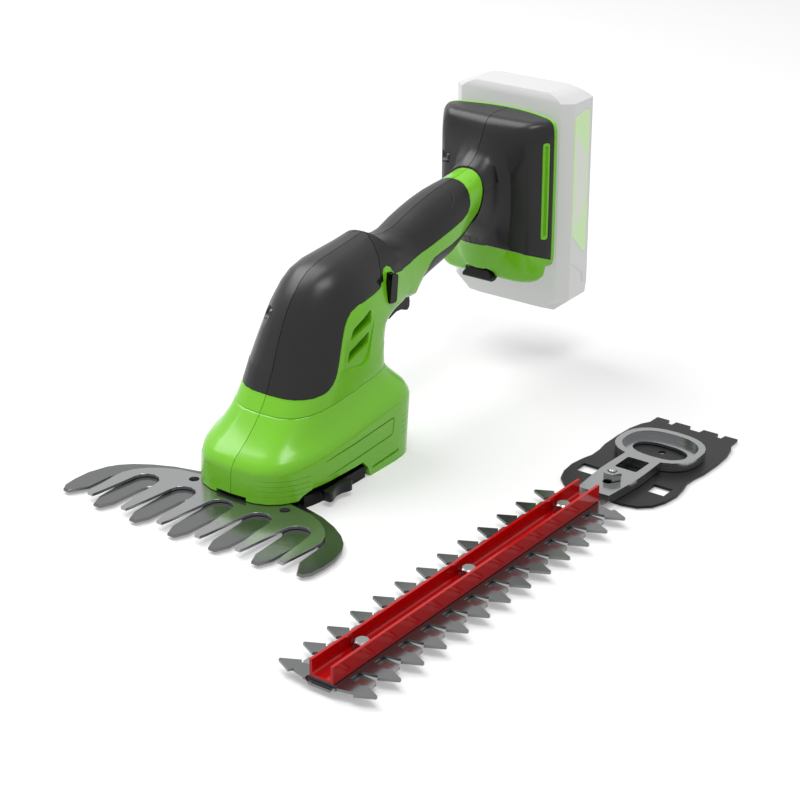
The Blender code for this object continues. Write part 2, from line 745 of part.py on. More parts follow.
def motor_room():
    """Space for the motor and its gearbox with clearance all round."""
    radius = MOTOR_RADIUS + GAP
    sleeve = GEARBOX_SLEEVE_RADIUS + GAP
    step = MOTOR_LOW + GAP
    profile = [(sleeve, GEARBOX_HIGH - 1.0), (sleeve, step), (radius, step),
               (radius, MOTOR_HIGH + GAP)]
    return turned("tool", profile, "Z", (0.0, MOTOR_Y), 24)


def open_head(housing, hood):
    cut(housing, prism("tool", gearbox_plan(GAP), "Z", CAVITY_TOP - 1.0, GEARBOX_HIGH + GAP))
    cut_all([housing, hood], motor_room())


def vent_side(housing):
    """Sunk field with two louvres through to the motor."""
    field = rounded(VENT_FIELD, 3.0, 2)
    face = VENT_FIELD_FACE - VENT_FIELD_DEPTH
    cut(housing, side_prism(field, low=face))
    for louvre in (VENT_UPPER, VENT_LOWER):
        cut(housing, side_prism(rounded(louvre, 1.2, 2), low=face - VENT_DEPTH))


def frame_label(housing):
    """Fine groove round the empty label field."""
    outer = rounded(LABEL_FRAME, LABEL_RADIUS, 3)
    tool = side_prism(outer, low=BASE_HALF - LABEL_DEPTH)
    cut(tool, side_prism(grown(outer, -LABEL_GROOVE)))
    cut(housing, tool)


def handle_rooms(housing, grip, under):
    """Rooms for trigger, switch, lock-off bar and their pins."""
    cut_all([housing, under], side_prism(TRIGGER_POCKET, high=TRIGGER_HALF + GAP))
    pin = circle(TRIGGER_PIVOT, TRIGGER_PIN_RADIUS + GAP, 12)
    cut(housing, side_prism(pin, high=TRIGGER_HALF + 4.0 + GAP))
    switch = box("tool", -1.0, SWITCH_HALF + GAP, SWITCH_FRONT - GAP, SWITCH_REAR + GAP,
                 SWITCH_LOW - 3.0, SWITCH_HIGH + GAP)
    cut_all([housing, grip, under], switch)


def lock_room(housing, hood):
    """Boss behind the lock-off button and the slot its bar slides in."""
    boss = side_prism(rounded(grown(LOCK_OUTLINE, LOCK_BOSS_GROW), 1.6, 2),
                      low=LOCK_BOSS_BACK, high=LOCK_BOSS_FACE)
    cut(boss, hood_tool(GAP))
    join(housing, boss)
    y0, y1, z0, z1 = LOCK_STEM
    slot = grown([(y0, z0), (y1, z0), (y1, z1), (y0, z1)], GAP)
    cut_all([housing, hood], side_prism(slot))
    seat = side_prism(grown(LOCK_OUTLINE, GAP), low=LOCK_BACK - LOCK_TRAVEL - 2 * GAP)
    cut_all([housing, hood], seat)


def make_head(paints):
    housing, hood, grip, under = build_shells(paints["green"], paints["black"], paints["soft"])
    open_base(housing)
    open_head(housing, hood)
    vent_side(housing)
    frame_label(housing)
    handle_rooms(housing, grip, under)
    lock_room(housing, hood)
    hood_left = mirrored(hood, "hood_left")
    housing_left = mirrored(housing, "housing_left")
    mirrored(grip, "grip_left")
    mirrored(under, "undergrip_left")
    screw_seat(hood_left, HOOD_SCREW)
    screw_seat(housing_left, BASE_SCREW)


def screw_seat(piece, place):
    """Round recess and pilot hole for a screw driven in from the left."""
    y, z, face = place
    under_head = face - SCREW_HEAD_HEIGHT - GAP
    recess = turned("tool", [(SCREW_SHANK_RADIUS + GAP, -(under_head - SCREW_LENGTH - GAP)),
                             (SCREW_SHANK_RADIUS + GAP, -under_head),
                             (SCREW_RECESS_RADIUS, -under_head),
                             (SCREW_RECESS_RADIUS, -REACH)], "X", (y, z), 16)
    cut(piece, recess)


def make_screw(name, place, material):
    y, z, face = place
    seat = -(face - SCREW_HEAD_HEIGHT)
    head = seat - SCREW_HEAD_HEIGHT
    profile = [(SCREW_SHANK_RADIUS, seat + SCREW_LENGTH), (SCREW_SHANK_RADIUS, seat),
               (SCREW_HEAD_RADIUS, seat), (SCREW_HEAD_RADIUS, head + 0.6),
               (SCREW_HEAD_RADIUS - 0.8, head)]
    screw = turned(name, profile, "X", (y, z), 16, material)
    for half_y, half_z in ((1.6, 0.4), (0.4, 1.6)):
        slot = box("tool", head - 1.0, head + 0.9, y - half_y, y + half_y,
                   z - half_z, z + half_z)
        cut(screw, slot)
    return screw


def gear_outline(centre, teeth, phase):
    """Plain toothed outline; a tooth points along the phase angle."""
    pitch_radius = GEAR_MODULE * teeth / 2
    tip = pitch_radius + GEAR_MODULE
    root = pitch_radius - 1.35 * GEAR_MODULE
    points = []
    for i in range(teeth):
        angle = phase + 2 * math.pi * i / teeth
        for radius, half in ((root, GEAR_ROOT_HALF), (tip, GEAR_TIP_HALF)):
            points.append((radius, angle - half / radius))
        for radius, half in ((tip, GEAR_TIP_HALF), (root, GEAR_ROOT_HALF)):
            points.append((radius, angle + half / radius))
    return [(centre[0] + r * math.cos(a), centre[1] + r * math.sin(a)) for r, a in points]


def gear_y():
    return MOTOR_Y - GEAR_MODULE * (PINION_TEETH + GEAR_TEETH) / 2


def throw_offset():
    """Place of the eccentric's middle when the grass blade stands where the photo shows it."""
    along_x = GRASS_SHIFT
    along_y = math.sqrt(ECCENTRIC_THROW ** 2 - along_x ** 2)
    return along_x, along_y


def make_drive(paints):
    centre = (0.0, gear_y())
    phase = math.pi / 2 + math.pi / GEAR_TEETH
    gear = prism("drive_gear", gear_outline(centre, GEAR_TEETH, phase), "Z",
                 GEAR_LOW, GEAR_HIGH, paints["steel"])
    along_x, along_y = throw_offset()
    disc = prism("tool", circle((along_x, centre[1] + along_y), ECCENTRIC_RADIUS, 32), "Z",
                 ECCENTRIC_LOW, COVER_HIGH)
    join(disc, turned("tool", [(GEAR_HUB_RADIUS, COVER_LOW),
                               (GEAR_HUB_RADIUS, GEAR_HUB_HIGH)], "Z", centre, 20))
    join(gear, disc)
    cut(gear, prism("tool", circle(centre, GEAR_SHAFT_RADIUS + GAP, 16), "Z", 0.0, REACH))
    set_origin(gear, (0.0, gear_y(), GEAR_LOW))
    turned("gear_shaft", [(GEAR_SHAFT_RADIUS - 0.6, GEAR_SHAFT_LOW),
                          (GEAR_SHAFT_RADIUS, GEAR_SHAFT_LOW + 0.6),
                          (GEAR_SHAFT_RADIUS, GEAR_SHAFT_HIGH)], "Z", centre, 16,
           paints["chrome"])
    pinion = prism("motor_pinion", gear_outline((0.0, MOTOR_Y), PINION_TEETH, -math.pi / 2),
                   "Z", GEAR_LOW + 0.2, GEAR_HIGH + 0.4, paints["brass"])
    join(pinion, turned("tool", [(SHAFT_RADIUS, GEAR_LOW + 0.6),
                                 (SHAFT_RADIUS, MOTOR_LOW + MOTOR_BORE_DEPTH - GAP)],
                        "Z", (0.0, MOTOR_Y), 12))
    set_origin(pinion, (0.0, MOTOR_Y, GEAR_LOW))


def make_motor(paints):
    low = MOTOR_LOW
    profile = [(MOTOR_NECK_RADIUS, low - MOTOR_NECK), (MOTOR_NECK_RADIUS, low),
               (MOTOR_RADIUS - 0.8, low), (MOTOR_RADIUS, low + 0.8),
               (MOTOR_RADIUS, MOTOR_HIGH - 9.0), (MOTOR_RADIUS - 0.5, MOTOR_HIGH - 8.5),
               (MOTOR_RADIUS - 0.5, MOTOR_HIGH - 1.0), (MOTOR_RADIUS - 1.5, MOTOR_HIGH)]
    motor = turned("motor", profile, "Z", (0.0, MOTOR_Y), 24, paints["motor"])
    bore = circle((0.0, MOTOR_Y), SHAFT_RADIUS + GAP, 12)
    cut(motor, prism("tool", bore, "Z", low - MOTOR_NECK - 1.0, low + MOTOR_BORE_DEPTH))


def make_gearbox(paints):
    housing = prism("gearbox_housing", gearbox_plan(0.0), "Z", GEARBOX_LOW, GEARBOX_HIGH,
                    paints["cast"])
    sleeve = turned("tool", [(GEARBOX_SLEEVE_RADIUS, GEARBOX_HIGH - 2.0),
                             (GEARBOX_SLEEVE_RADIUS, MOTOR_LOW - GAP)],
                    "Z", (0.0, MOTOR_Y), 24)
    join(housing, sleeve)
    middle = (0.0, gear_y())
    gear_room = GEAR_MODULE * (GEAR_TEETH / 2 + 1) + 1.4
    pinion_room = GEAR_MODULE * (PINION_TEETH / 2 + 1) + 1.2
    ceiling = GEAR_HUB_HIGH + GAP
    cut(housing, prism("tool", circle(middle, gear_room, 32), "Z", 0.0, ceiling))
    cut(housing, prism("tool", circle((0.0, MOTOR_Y), pinion_room, 16), "Z", 0.0, ceiling))
    cut(housing, prism("tool", circle(middle, GEAR_SHAFT_RADIUS + GAP, 16), "Z", 0.0,
                       GEAR_SHAFT_HIGH + GAP))
    cut(housing, turned("tool", [(SHAFT_RADIUS + 1.0, ceiling - 1.0),
                                 (SHAFT_RADIUS + 1.0, MOTOR_LOW - MOTOR_NECK - 1.0),
                                 (MOTOR_NECK_RADIUS + GAP, MOTOR_LOW - MOTOR_NECK - 1.0),
                                 (MOTOR_NECK_RADIUS + GAP, MOTOR_LOW + 1.0)],
                        "Z", (0.0, MOTOR_Y), 20))
    cover = prism("gearbox_cover", gearbox_plan(0.0), "Z", COVER_LOW, COVER_HIGH,
                  paints["pale_steel"])
    sweep = ECCENTRIC_RADIUS + ECCENTRIC_THROW + 1.0
    cut(cover, prism("tool", circle(middle, sweep, 32), "Z", 0.0, REACH))


def gullet_run(middle, width, top_y):
    """Round end of the gap between two teeth, from its right side to its left side."""
    return [(middle + width / 2 * math.cos(math.pi * k / 6),
             top_y + width / 2 * math.sin(math.pi * k / 6)) for k in range(1, 6)]


def tooth_run(pitch, numbers, gullet_y, tip_y, sizes, shift):
    """Teeth and round gullets from right to left; the tips lie on a shallow arc."""
    base, shoulder, tip_width, tip_length = sizes
    points = []
    for order, number in enumerate(numbers):
        x = number * pitch + shift
        end = tip_y + TIP_ARC * number ** 2
        side = [(base / 2, gullet_y), (shoulder / 2, end + tip_length), (tip_width / 2, end)]
        points += [(x + dx, y) for dx, y in side]
        points += [(x - dx, y) for dx, y in reversed(side)]
        if order < len(numbers) - 1:
            points += gullet_run(x - pitch / 2, pitch - base, gullet_y)
    return points


def make_fixed_blade(paints):
    sizes = (FIXED_TOOTH_BASE, FIXED_TOOTH_SHOULDER, FIXED_TIP_WIDTH, FIXED_TIP_LENGTH)
    teeth = tooth_run(GRASS_PITCH, [2, 1, 0, -1, -2], FIXED_GULLET_Y, FIXED_TIP_Y, sizes, 0.0)
    horn_left = [(-x, y) for x, y in FIXED_HORN]
    middle = (FIXED_HORN[0][0] + teeth[0][0]) / 2
    gullet = gullet_run(middle, FIXED_HORN[0][0] - teeth[0][0], FIXED_GULLET_Y)
    gullet_left = [(-x, y) for x, y in reversed(gullet)]
    rear = [(FIXED_HORN[-1][0] - 1.0, FIXED_REAR - 4.0), (FIXED_HORN[-1][0] - 5.0, FIXED_REAR)]
    right = list(reversed(rear)) + list(reversed(FIXED_HORN)) + gullet
    left = gullet_left + horn_left + [(-x, y) for x, y in rear]
    blade = prism("grass_fixed_blade", right + teeth + left, "Z", FIXED_LOW,
                  FIXED_LOW + BLADE_THICK, paints["dark_steel"])
    opening = oval((0.0, gear_y()), YOKE_FLANGE_SHORT, YOKE_FLANGE_LONG, YOKE_POWER, 20)
    cut(blade, prism("tool", opening, "Z", -1.0, REACH))
    for side in (-1, 1):
        hole = circle((side * RIVET_X, RIVET_Y), RIVET_RADIUS + GAP, 12)
        cut(blade, prism("tool", hole, "Z", -1.0, REACH))


def yoke_room():
    """Half sizes of the space in a yoke: along the blade's stroke, and across it."""
    return ECCENTRIC_RADIUS + YOKE_PLAY, ECCENTRIC_RADIUS + ECCENTRIC_THROW + YOKE_PLAY


def yoke_ring(middle, across_x, across_y, low, high, steps):
    """Raised oval wall round the eccentric."""
    inner_x, inner_y = across_x, across_y
    wall = oval(middle, inner_x + YOKE_WALL, inner_y + YOKE_WALL, YOKE_POWER, steps)
    ring = prism("tool", wall, "Z", low, high)
    cut(ring, prism("tool", oval(middle, inner_x, inner_y, YOKE_POWER, steps), "Z",
                    low - 1.0, high + 1.0))
    return ring


def make_moving_blade(paints):
    shift = GRASS_SHIFT
    sizes = (MOVING_TOOTH_BASE, MOVING_TOOTH_SHOULDER, MOVING_TIP_WIDTH, MOVING_TIP_LENGTH)
    teeth = tooth_run(MOVING_PITCH, [2.5, 1.5, 0.5, -0.5, -1.5, -2.5], MOVING_GULLET_Y,
                      MOVING_TIP_Y, sizes, shift)[2:-2]
    tight, loose = yoke_room()
    tail = [(tight + YOKE_WALL - 1.0, gear_y() + loose - 6.0),
            (tight - 4.0, gear_y() + loose + 1.0)]
    right = [(x + shift, y) for x, y in list(reversed(tail)) + list(reversed(MOVING_EDGE))]
    left = [(shift - x, y) for x, y in MOVING_EDGE + tail]
    top = MOVING_LOW + BLADE_THICK
    blade = prism("grass_moving_blade", right + teeth + left, "Z", MOVING_LOW, top,
                  paints["steel"])
    middle = (shift, gear_y())
    join(blade, yoke_ring(middle, tight, loose, top - 0.4, top + YOKE_RISE, 28))
    opening = oval(middle, YOKE_FLANGE_SHORT, YOKE_FLANGE_LONG, YOKE_POWER, 20)
    cut(blade, prism("tool", opening, "Z", -1.0, REACH))
    for side in (-1, 1):
        hole = circle((side * BLADE_HOLE_X + shift, BLADE_HOLE_Y), BLADE_HOLE_RADIUS, 14)
        cut(blade, prism("tool", hole, "Z", -1.0, REACH))
        reach = RIVET_RADIUS + GAP
        slot = rounded(rectangle(side * RIVET_X + shift - STROKE - reach,
                                 side * RIVET_X + shift + STROKE + reach,
                                 RIVET_Y - reach, RIVET_Y + reach), reach, 3)
        cut(blade, prism("tool", slot, "Z", -1.0, REACH))
    set_origin(blade, (shift, gear_y(), MOVING_LOW))


def make_rivets(paints):
    for side, word in ((1, "right"), (-1, "left")):
        head = MOVING_LOW + BLADE_THICK + GAP
        profile = [(RIVET_RADIUS, MOUNT_FLOOR - 0.9), (RIVET_RADIUS, head),
                   (RIVET_HEAD_RADIUS, head), (RIVET_HEAD_RADIUS, head + 0.6),
                   (RIVET_HEAD_RADIUS - 1.2, head + RIVET_HEAD_HEIGHT)]
        turned("blade_rivet_" + word, profile, "Z", (side * RIVET_X, RIVET_Y), 14,
               paints["chrome"])


def make_mount_plate(paints):
    """Black floor under the blades with side rails that hold the release buttons."""
    rear_inset = BASE_WALL + GAP
    front = base_outline(MOUNT_INSET + 0.6, MOUNT_FRONT, CUTOUT[-2][0] - GAP - 0.6, 14)
    plate = prism("grass_mount_plate", front, "Z", 0.0, MOUNT_FLOOR, paints["soft"])
    rear = base_outline(rear_inset, 0.0, MOUNT_REAR, 14)
    join(plate, prism("tool", rear, "Z", 0.0, MOUNT_FLOOR))
    rail = base_outline(MOUNT_INSET, MOUNT_WALL_FRONT, MOUNT_WALL_REAR, 10)
    rails = prism("tool", rail, "Z", 0.0, MOUNT_WALL_TOP)
    cut(rails, box("tool", -MOUNT_WALL_INNER, MOUNT_WALL_INNER, -REACH, REACH,
                   MOUNT_FLOOR, REACH))
    join(plate, rails)
    for side in (-1, 1):
        hole = circle((side * RIVET_X, RIVET_Y), RIVET_RADIUS + GAP, 12)
        cut(plate, prism("tool", hole, "Z", -1.0, REACH))
        room = rectangle(RELEASE_Y - RELEASE_STEM_HALF - GAP, RELEASE_Y + RELEASE_STEM_HALF + GAP,
                         RELEASE_STEM_LOW - GAP, RELEASE_STEM_HIGH + GAP)
        edges = sorted((side * (RELEASE_STEM_END - RELEASE_TRAVEL - GAP), side * REACH))
        cut(plate, prism("tool", room, "X", edges[0], edges[1]))


def make_release_buttons(paints):
    for side, word in ((1, "right"), (-1, "left")):
        y0 = RELEASE_Y - RELEASE_HALF_LENGTH
        y1 = RELEASE_Y + RELEASE_HALF_LENGTH
        outline = [(RELEASE_BACK, y0), (RELEASE_FACE - 0.6, y0), (RELEASE_FACE, y0 + 0.8)]
        for k in range(7):
            t = k / 6
            y = y0 + 2.4 + (y1 - y0 - 4.8) * t
            outline.append((RELEASE_FACE - RELEASE_DISH * math.sin(math.pi * t), y))
        outline += [(RELEASE_FACE, y1 - 0.8), (RELEASE_FACE - 0.6, y1), (RELEASE_BACK, y1)]
        outline = [(side * x, y) for x, y in outline]
        button = prism("release_button_" + word, outline, "Z", RELEASE_LOW, RELEASE_HIGH,
                       paints["soft"])
        inner = sorted((side * RELEASE_STEM_END, side * (RELEASE_BACK + 0.5)))
        join(button, box("tool", inner[0], inner[1], RELEASE_Y - RELEASE_STEM_HALF,
                         RELEASE_Y + RELEASE_STEM_HALF, RELEASE_STEM_LOW, RELEASE_STEM_HIGH))
        set_origin(button, (side * RELEASE_BACK, RELEASE_Y, (RELEASE_LOW + RELEASE_HIGH) / 2))


def make_trigger(paints):
    trigger = prism("trigger", rounded(TRIGGER_OUTLINE, 0.8, 2), "X", -TRIGGER_HALF,
                    TRIGGER_HALF, paints["grey"])
    cut(trigger, prism("tool", circle(TRIGGER_PIVOT, TRIGGER_PIN_RADIUS + GAP, 12), "X",
                       -REACH, REACH))
    set_origin(trigger, (0.0, TRIGGER_PIVOT[0], TRIGGER_PIVOT[1]))
    reach = TRIGGER_HALF + 4.0
    turned("trigger_pin", [(TRIGGER_PIN_RADIUS, -reach), (TRIGGER_PIN_RADIUS, reach)], "X",
           TRIGGER_PIVOT, 12, paints["chrome"])


def make_switch(paints):
    body = box("switch_body", -SWITCH_HALF, SWITCH_HALF, SWITCH_FRONT, SWITCH_REAR,
               SWITCH_LOW, SWITCH_HIGH, paints["soft"])
    return body


def make_lock_off(paints):
    button = prism("lock_off_bar", rounded(LOCK_OUTLINE, 0.6, 2), "X", LOCK_BACK, LOCK_FACE,
                   paints["gloss"])
    other = prism("tool", rounded(LOCK_OUTLINE, 0.6, 2), "X", -LOCK_FACE, -LOCK_BACK)
    y0, y1, z0, z1 = LOCK_STEM
    stem = box("tool", -LOCK_BACK - 0.5, LOCK_BACK + 0.5, y0, y1, z0, z1)
    join(button, stem)
    join(button, other)
    set_origin(button, (0.0, (y0 + y1) / 2, (z0 + z1) / 2))


def dock_ring(top_y, top_z, low_y, low_z, half_width, power):
    """Right half of one upright section of the dock, from its top point to its lowest."""
    points = []
    for step in range(DOCK_STEPS + 1):
        angle = math.pi * step / DOCK_STEPS
        across = half_width * abs(math.sin(angle)) ** (2 / power)
        up = signed_power(math.cos(angle), 2 / power)
        y = (top_y + low_y) / 2 + up * (top_y - low_y) / 2
        z = (top_z + low_z) / 2 + up * (top_z - low_z) / 2
        points.append((max(SEAM, across), y, z))
    return points


def full_ring(half):
    """Close a half section with its mirror image; the two end points move to the mid-plane."""
    right = [(0.0, *half[0][1:])] + half[1:-1] + [(0.0, *half[-1][1:])]
    return right + [(-x, y, z) for x, y, z in reversed(half[1:-1])]


def bow_outline(offset, rear):
    """Plan of everything in front of the bowed rear edge of the dock."""
    half = DOCK_RINGS[-1][4] + 6.0
    points = []
    for k in range(13):
        x = -half + 2 * half * k / 12
        share = x / DOCK_RINGS[-1][4]
        points.append((x, DOCK_REAR - DOCK_BOW * share ** 2 + offset))
    return points + [(half, rear), (-half, rear)]


def shell_region(clearance):
    """What belongs to the black dock shells: above the green band, ahead of the green rim."""
    side = [(y, z + clearance) for y, z in BAND_TOP]
    region = side_prism(side + [(side[-1][0], FAR), (side[0][0], FAR)], low=-REACH)
    return cut(region, prism("rear", bow_outline(-RIM_THICK - clearance, FAR), "Z", 0.0,
                             FAR))


def rail_room():
    """Hollow the battery rail slides in, open below and behind."""
    return rectangle(-RAIL_HALF - GAP, RAIL_HALF + GAP, RAIL_FRONT - GAP - 4.0, BATTERY_REAR)


def make_dock(paints):
    halves = [dock_ring(*ring) for ring in DOCK_RINGS]
    shell = loft("dock_right", halves, paints["black"])
    common(shell, shell_region(GAP))
    frame = loft("dock_frame", [full_ring(half) for half in halves], paints["green"])
    cut(frame, shell_region(0.0))
    cut(frame, prism("tool", bow_outline(0.0, FAR), "Z", 0.0, FAR))
    room = prism("tool", rail_room(), "Z", 0.0, TERMINAL_HIGH + GAP)
    cut_all([shell, frame], room)
    tenon = box("tool", -1.0, TENON_HALF + GAP, TENON_START, TENON_END + GAP,
                TENON_LOW - GAP, TENON_HIGH + GAP)
    cut(shell, tenon)
    pill = rounded(rectangle(PILL_Y - PILL_HALF, PILL_Y + PILL_HALF, PILL_LOW, PILL_HIGH),
                   PILL_HALF, 4)
    inlay = copy_of(shell, "dock_pill_right", paints["green"])
    common(inlay, side_prism(grown(pill, -GAP), low=PILL_ROOM + GAP))
    groove = rounded(rectangle(PILL_Y - PILL_GROOVE_HALF, PILL_Y + PILL_GROOVE_HALF,
                               PILL_LOW + PILL_HALF, PILL_HIGH - PILL_HALF),
                     PILL_GROOVE_HALF, 3)
    cut(inlay, side_prism(groove, low=PILL_GROOVE_FLOOR))
    mirrored(inlay, "dock_pill_left")
    cut(shell, side_prism(pill, low=PILL_ROOM))
    shell_left = mirrored(shell, "dock_left")
    screw_seat(shell_left, DOCK_SCREW)
    latch_room = prism("tool", rounded(grown(LATCH_OUTLINE, LATCH_ROOM), 1.0, 1), "X",
                       -LATCH_HALF - GAP, LATCH_HALF + GAP)
    cut(frame, common(latch_room, prism("arch", grown(LATCH_ARCH, LATCH_LIFT), "Y", 0.0, FAR)))
    pin = circle(LATCH_PIVOT, LATCH_PIN_RADIUS + GAP, 10)
    cut(frame, prism("tool", pin, "X", -LATCH_PIN_HALF - GAP, LATCH_PIN_HALF + GAP))
    return frame


def make_latch(paints):
    latch = prism("battery_latch", rounded(LATCH_OUTLINE, 0.8, 2), "X", -LATCH_HALF,
                  LATCH_HALF, paints["grey"])
    common(latch, prism("arch", LATCH_ARCH, "Y", 0.0, FAR))
    cut(latch, prism("tool", circle(LATCH_PIVOT, LATCH_PIN_RADIUS + GAP, 10), "X",
                     -REACH, REACH))
    set_origin(latch, (0.0, LATCH_PIVOT[0], LATCH_PIVOT[1]))
    turned("latch_pin", [(LATCH_PIN_RADIUS, -LATCH_PIN_HALF), (LATCH_PIN_RADIUS, LATCH_PIN_HALF)],
           "X", LATCH_PIVOT, 10, paints["chrome"])


def battery_ring(z, face_half, side_half, front, rear):
    """One level section of the battery, from its left rear corner round to the right."""
    half = [(face_half, front), (side_half, BATTERY_SIDE_FRONT),
            (side_half, rear - BATTERY_CORNER), (side_half - BATTERY_CORNER, rear)]
    whole = [(-x, y) for x, y in reversed(half)] + half
    return [(x, y, z) for x, y in whole]


def make_battery(paints):
    form = loft("form", [battery_ring(*level) for level in BATTERY_LEVELS])
    case = copy_of(form, "battery_case", paints["ghost"])
    cover = copy_of(form, "battery_cover", paints["ghost"])
    remove(form)
    cut(case, box("tool", -REACH, REACH, BATTERY_PART_LINE, FAR, 0.0, FAR))
    cut(cover, box("tool", -REACH, REACH, 0.0, BATTERY_PART_LINE + GAP, 0.0, FAR))
    rail = box("tool", -RAIL_HALF, RAIL_HALF, RAIL_FRONT, BATTERY_FACE + 1.0, RAIL_LOW, RAIL_HIGH)
    for side in (-1, 1):
        edge = sorted((side * (RAIL_HALF - RAIL_GROOVE), side * (RAIL_HALF + 1.0)))
        cut(rail, box("tool", edge[0], edge[1], RAIL_FRONT + RAIL_GROOVE_START,
                      RAIL_FRONT + RAIL_GROOVE_END, 0.0, FAR))
    join(case, rail)
    room = box("tool", -CONTACT_HALF - GAP, CONTACT_HALF + GAP, RAIL_FRONT - 1.0,
               RAIL_FRONT + CONTACT_DEPTH + GAP, CONTACT_LOW - GAP, RAIL_HIGH + 1.0)
    cut(case, room)
    for side, word in ((1, "right"), (-1, "left")):
        inner = sorted((side * (BATTERY_HALF - PANEL_THICK - GAP), side * REACH))
        outline = rounded(PANEL_OUTLINE, 1.0, 1)
        cut(case, prism("tool", grown(outline, GAP), "X", inner[0], inner[1]))
        dish = sorted((side * (BATTERY_HALF - SIDE_DISH_DEPTH), side * REACH))
        cut(case, prism("tool", rounded(SIDE_DISH, 1.5, 2), "X", dish[0], dish[1]))
        panel = sorted((side * (BATTERY_HALF - PANEL_THICK), side * (BATTERY_HALF + 0.2)))
        prism("battery_panel_" + word, outline, "X", panel[0], panel[1], paints["pale_green"])
    contact = box("battery_contacts", -CONTACT_HALF, CONTACT_HALF, RAIL_FRONT,
                  RAIL_FRONT + CONTACT_DEPTH, CONTACT_LOW, RAIL_HIGH - 0.5, paints["soft"])
    for k in range(TERMINAL_BLADES):
        x = (k - (TERMINAL_BLADES - 1) / 2) * TERMINAL_PITCH
        half = TERMINAL_THICK / 2 + GAP
        cut(contact, box("tool", x - half, x + half, RAIL_FRONT + 1.2, RAIL_FRONT + 4.8,
                         CONTACT_LOW + 4.0, FAR))


def make_terminals(paints):
    """Insulator over the battery rail with blade contacts reaching down into it."""
    block = box("terminal_block", -CONTACT_HALF, CONTACT_HALF, TERMINAL_FRONT,
                TERMINAL_BACK, TERMINAL_LOW, TERMINAL_HIGH, paints["brass"])
    for k in range(TERMINAL_BLADES):
        x = (k - (TERMINAL_BLADES - 1) / 2) * TERMINAL_PITCH
        join(block, box("tool", x - TERMINAL_THICK / 2, x + TERMINAL_THICK / 2,
                        RAIL_FRONT + 1.5, RAIL_FRONT + 4.5, CONTACT_LOW + 8.0,
                        TERMINAL_LOW + 0.5))


def shift_outline(outline):
    return [(x + HEDGE_X, y + HEDGE_Y) for x, y in outline]


def hedge_prism(name, outline, low, high, material=None):
    return prism(name, shift_outline(outline), "Z", low, high, material)


def make_hedge_plate(paints):
    half = [(x, COMB_LENGTH + y) for x, y in PLATE_HALF_OUTLINE]
    plate = hedge_prism("hedge_mount_plate", two_sided(half), PLATE_LOW,
                        PLATE_LOW + PLATE_THICK, paints["plate"])
    x0, x1, y0, y1 = PLATE_HOLE
    for outline in (rectangle(x0, x1, y0, y1), rectangle(-x1, -x0, y0, y1)):
        cut(plate, hedge_prism("tool", outline, -1.0, REACH))
    centre = circle((0.0, PLATE_HOLE_Y), PLATE_HOLE_RADIUS, 12)
    cut(plate, hedge_prism("tool", centre, -1.0, REACH))
    hole = circle((0.0, REAR_BOLT_Y), BOLT_RADIUS + GAP, 12)
    cut(plate, hedge_prism("tool", hole, -1.0, REACH))


def comb_outline(tip_points, count, first, front, rear):
    """Comb with the same teeth on both sides, closed by a front and a rear run of points."""
    right = []
    for number in range(count):
        y = first + number * HEDGE_PITCH
        right += [(x, y + dy) for x, dy in tip_points]
    left = [(-x, y) for x, y in reversed(right)]
    return front + right + rear + left


def nose_strip():
    """Cross strip at the guard's front end, bent down under the channel."""
    top = GUARD_LOW + GUARD_THICK
    outer = NOSE_HALF + 1.0
    inner = NOSE_HALF - NOSE_RAMP
    profile = [(-outer, top), (-NOSE_HALF, top), (-inner, top - NOSE_DROP),
               (inner, top - NOSE_DROP), (NOSE_HALF, top), (outer, top),
               (outer, GUARD_LOW), (NOSE_HALF - 0.6, GUARD_LOW),
               (inner - 0.6, GUARD_LOW - NOSE_DROP), (0.6 - inner, GUARD_LOW - NOSE_DROP),
               (0.6 - NOSE_HALF, GUARD_LOW), (-outer, GUARD_LOW)]
    profile = [(x + HEDGE_X, z) for x, z in profile]
    return prism("tool", profile, "Y", HEDGE_Y + NOSE_FRONT, HEDGE_Y + NOSE_REAR + 0.4)


def make_guard(paints):
    tooth = [(GUARD_ROOT, -GUARD_BASE_HALF), (GUARD_NECK, -GUARD_NECK_HALF),
             (GUARD_BARB, -GUARD_BARB_HALF), (GUARD_TIP, -0.5), (GUARD_TIP, 0.5),
             (GUARD_BARB, GUARD_BARB_HALF), (GUARD_NECK, GUARD_NECK_HALF),
             (GUARD_ROOT, GUARD_BASE_HALF)]
    front = [(-GUARD_END_HALF, GUARD_FRONT), (GUARD_END_HALF, GUARD_FRONT)]
    rear = [(GUARD_END_HALF, CHANNEL_END), (-GUARD_END_HALF, CHANNEL_END)]
    guard = hedge_prism("hedge_guard", comb_outline(tooth, HEDGE_TEETH, 0.0, front, rear),
                        GUARD_LOW, GUARD_LOW + GUARD_THICK, paints["steel"])
    cut(guard, hedge_prism("tool", rectangle(-NOSE_HALF, NOSE_HALF, NOSE_FRONT, NOSE_REAR),
                           0.0, REACH))
    join(guard, nose_strip())
    for place in BOLT_PLACES:
        hole = circle((0.0, place), BOLT_RADIUS + GAP, 12)
        cut(guard, hedge_prism("tool", hole, -1.0, REACH))


